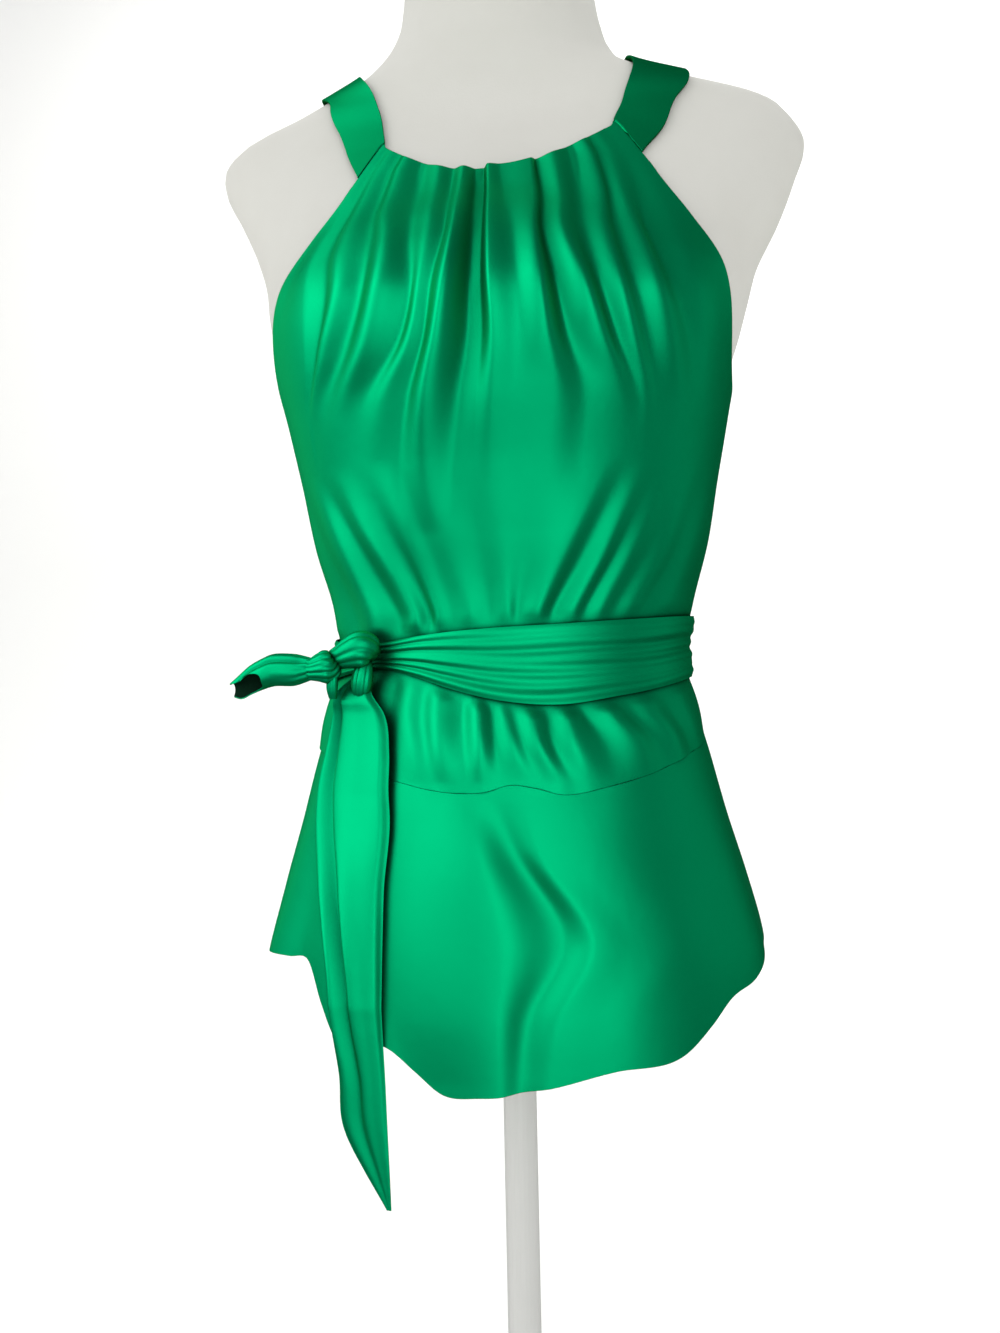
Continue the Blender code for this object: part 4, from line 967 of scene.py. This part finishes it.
def rolled(name, rolls):
    """One piece of one or more closed rolls."""
    points, faces = [], []
    for rings in rolls:
        rows, steps = rings.shape[:2]
        start = sum(len(p) for p in points)
        points.append(rings.reshape(-1, 3))
        faces += [list(face + start) for face in grid_faces(rows, steps, round_columns=True)]
        faces.append(list(range(start, start + steps)))
        faces.append(list(range(start + (rows - 1) * steps, start + rows * steps))[::-1])
    return new_piece(name, np.concatenate(points), faces, SATIN_GREEN, name, "satin")


def bow_loop():
    """The loop that leaves the throat, open at its end, with the cloth's dull wrong side inside painted
    dark as shade.
    """
    along, around = 70, 96
    turn = np.linspace(0, 2 * math.pi, around, endpoint=False)
    rows = [(i / (len(LOOP) - 1), *row) for i, row in enumerate(LOOP)]
    near = smooth(np.sin(turn - LOOP_CUT_TURN))
    share = np.linspace(0, 1, along)[:, None] * (1 - LOOP_NEAR_CUT * near)
    x, y, z, high, thick = through(rows, share)
    ripples = LOOP_GATHER_DEPTH * np.sin(LOOP_GATHERS * turn + LOOP_GATHER_TURN)
    gathers = ripples * np.clip(1 - LOOP_GATHERS_END * share, 0, 1)
    crease = 1 + creased(turn, LOOP_CREASES) * smooth(4 * share) + gathers
    points = np.stack([x, y - thick * crease * np.sin(turn), z + high * crease * np.cos(turn)], -1)
    piece = cloth_piece("bow_loop", points[:, ::-1], "bow_loop", round_columns=True)
    # Inside the loop the sheet takes the dull wrong side, painted dark as shade; its other face and rim
    # take the satin
    piece.data.materials.clear()
    piece.data.materials.append(SHADED_WRONG_SIDE)
    piece.data.materials.append(SATIN_GREEN)
    wall = piece.modifiers["wall"]
    wall.material_offset = wall.material_offset_rim = 1
    return piece


def sash_tail():
    """The sash's hanging end, on the skirt and then straight down to its point."""
    across, along = 70, 190
    height = np.linspace(TAIL[0][0], TAIL[-1][0], along)[:, None]
    left, left_lift, right, right_lift = through(TAIL[::-1], height)
    place = np.linspace(0, 1, across)
    angle = left + (right - left) * place
    lift = (left_lift + (right_lift - left_lift) * place) / 1000
    on_skirt = np.maximum(height, TAIL_HANGS)
    fall = np.linspace(0, 1, along)[:, None]
    wide = np.radians(right - left) * section_radius(CLOTH_SECTIONS, left, on_skirt)
    full = np.clip(wide / TAIL_FULL, 0, 1)
    lift = lift + full * tail_lines(place + 0 * fall, fall)
    points = cloth_point(angle, on_skirt + 0 * angle, hem_waves, np.maximum(lift, TAIL_CLEAR))
    points[..., 2] = height
    return cloth_piece("sash_tail", points[::-1], "sash_tail")


def dress_form():
    angle = np.linspace(0, 360, 144, endpoint=False)
    heights = np.linspace(FORM_SECTIONS[0][0], FORM_SECTIONS[-1][0], 150)[:, None]
    rings = form_point(angle + 0 * heights, heights + 0 * angle)
    return stacked("dress_form", rings, COVER, "dress_form", "form_cover")


def show_cad_node(name, material):
    """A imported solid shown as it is, in its own material."""
    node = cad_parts[name]
    node.data.materials.clear()
    node.data.materials.append(material)


front_top = front_bodice_top()
front_low = low_bodice("front_bodice_low", "front_bodice", -SIDE_SEAM, SIDE_SEAM, low_pleats, 320)
back_top = back_bodice_top()
back_low = low_bodice("back_bodice_low", "back_bodice", SIDE_SEAM, 360 - SIDE_SEAM, back_creases, 160)
front_hem = hem_panel("front_hem_panel", -SIDE_SEAM, SIDE_SEAM, FRONT_HEM, hem_waves, 260)
back_hem = hem_panel("back_hem_panel", SIDE_SEAM, 360 - SIDE_SEAM, BACK_HEM, back_waves, 200)
band = neckband()
sash = sash_wrap()
wrap = roll(KNOT_WRAP, WRAP_CREASES)
knot = rolled("sash_knot", [wrap, roll(KNOT_RIGHT, RIGHT_CREASES), roll(KNOT_LEFT, LEFT_CREASES)])
throat = rolled("sash_throat", [roll(THROAT_ROLL, THROAT_CREASES)])
loop = bow_loop()
tail = sash_tail()
dress_form()
show_cad_node("stand_pole", ENAMEL)
show_cad_node("stand_base", ENAMEL)

# Stage


def backdrop():
    """A pale floor that curves up behind into a wall."""
    bend, back, front, half, top, steps = 0.9, 2.2, -4.0, 4.0, 4.5, 24
    profile = [(front, 0.0), (back - bend, 0.0)]
    for step in range(1, steps + 1):
        turn = step / steps * math.pi / 2
        profile.append((back - bend + bend * math.sin(turn), bend - bend * math.cos(turn)))
    profile.append((back, top))
    points = np.array([[(x, y, z) for x in (half, -half)] for y, z in profile])
    mesh = bpy.data.meshes.new("floor")
    mesh.from_pydata(points.reshape(-1, 3).tolist(), [], grid_faces(len(profile), 2).tolist())
    mesh.materials.append(plain_material("white paper backdrop", "#f6f6f4", 0.9))
    mesh.shade_smooth()
    made = bpy.data.objects.new("floor", mesh)
    scene.collection.objects.link(made)


# Lights: name, place, where they point, width and height, watts. The sheens are the room's pale things,
# which only show in the satin
LIGHTS = (
    ("window", (-1.9, -1.5, 1.45), (0.0, 0.0, 0.70), (1.5, 2.5), 12.0),
    ("window_sheen", (-1.85, -1.65, 1.5), (0.0, 0.0, 0.70), (3.5, 3.0), 52.0),
    ("left_sheen", (-2.2, 0.9, 1.1), (0.0, 0.0, 0.62), (1.6, 2.2), 9.0),
    ("front_fill", (0.7, -2.4, 1.0), (0.0, 0.0, 0.65), (1.5, 2.0), 8.0),
    ("front_sheen", (0.55, -2.4, 1.0), (0.0, 0.0, 0.65), (1.5, 1.8), 13.0),
    ("side_sheen", (2.2, 0.2, 0.9), (0.0, 0.0, 0.62), (1.4, 2.0), 3.5),
    ("low_sheen", (0.35, -1.3, 0.06), (0.0, 0.0, 0.62), (1.4, 0.8), 4.0),
    ("ceiling_sheen", (-0.9, -0.6, 2.3), (0.0, 0.0, 0.85), (1.4, 1.2), 8.0),
    ("backdrop_light", (0.0, 0.9, 2.6), (0.0, 1.8, 0.4), (2.6, 1.2), 34.0),
)
# The dark walls: how brightly they light the room, and how brightly they show in the satin
WALLS_LIGHT = 0.74
WALLS_SHOW = 0.10


def area_light(name, place, aim, size, power):
    data = bpy.data.lights.new(name, "AREA")
    data.shape = "RECTANGLE"
    data.size, data.size_y = size
    data.energy = power
    made = bpy.data.objects.new(name, data)
    scene.collection.objects.link(made)
    away = np.array(place) - np.array(aim)
    made.location = place
    made.rotation_euler = (
        math.acos(away[2] / np.linalg.norm(away)),
        0.0,
        math.atan2(away[1], away[0]) + math.pi / 2,
    )
    made.visible_diffuse = not name.endswith("_sheen")


backdrop()
for light in LIGHTS:
    area_light(*light)
for name in ("floor", "backdrop_light"):
    bpy.data.objects[name].visible_glossy = False

world = bpy.data.worlds.new("studio")
world.use_nodes = True
room = world.node_tree
walls = room.nodes["Background"]
walls.inputs["Color"].default_value = (1.0, 1.0, 1.0, 1.0)
ray = add_node(room, "ShaderNodeLightPath").outputs["Is Glossy Ray"]
strength = add_node(
    room, "ShaderNodeMapRange", {"Value": ray, "To Min": WALLS_LIGHT, "To Max": WALLS_SHOW}
)
room.links.new(strength.outputs["Result"], walls.inputs["Strength"])
scene.world = world
scene.view_settings.view_transform = "Standard"

# Camera, matched to the photo
VIEW_DISTANCE = 0.69  # from the axis
VIEW_TURN = math.radians(9)
VIEW_HEIGHT = 0.58
VIEW_ROLL = math.radians(1.2)
VIEW_SHIFT = 0.0076  # to the left
FOCAL_PIXELS = 1003.0  # focal length in pixels of the photo
IMAGE_HEIGHT = 1333
LONG_SIDE = 24.0  # of the sensor, mm

right = np.array([math.cos(VIEW_TURN), math.sin(VIEW_TURN), 0.0])
forward = np.array([-math.sin(VIEW_TURN), math.cos(VIEW_TURN), 0.0])
up = np.array([0.0, 0.0, 1.0])
eye = -VIEW_DISTANCE * forward + VIEW_HEIGHT * up - VIEW_SHIFT * right
picture_right = math.cos(VIEW_ROLL) * right - math.sin(VIEW_ROLL) * up
picture_up = math.sin(VIEW_ROLL) * right + math.cos(VIEW_ROLL) * up
lens = bpy.data.cameras.new("photo camera")
lens.sensor_fit = "AUTO"
lens.sensor_width = LONG_SIDE
lens.lens = LONG_SIDE * FOCAL_PIXELS / IMAGE_HEIGHT
lens.clip_start = 0.05
camera = bpy.data.objects.new("photo camera", lens)
scene.collection.objects.link(camera)
axes = np.stack([picture_right, picture_up, -forward, eye], -1)
camera.matrix_world = Matrix([*axes.tolist(), [0.0, 0.0, 0.0, 1.0]])
scene.camera = camera
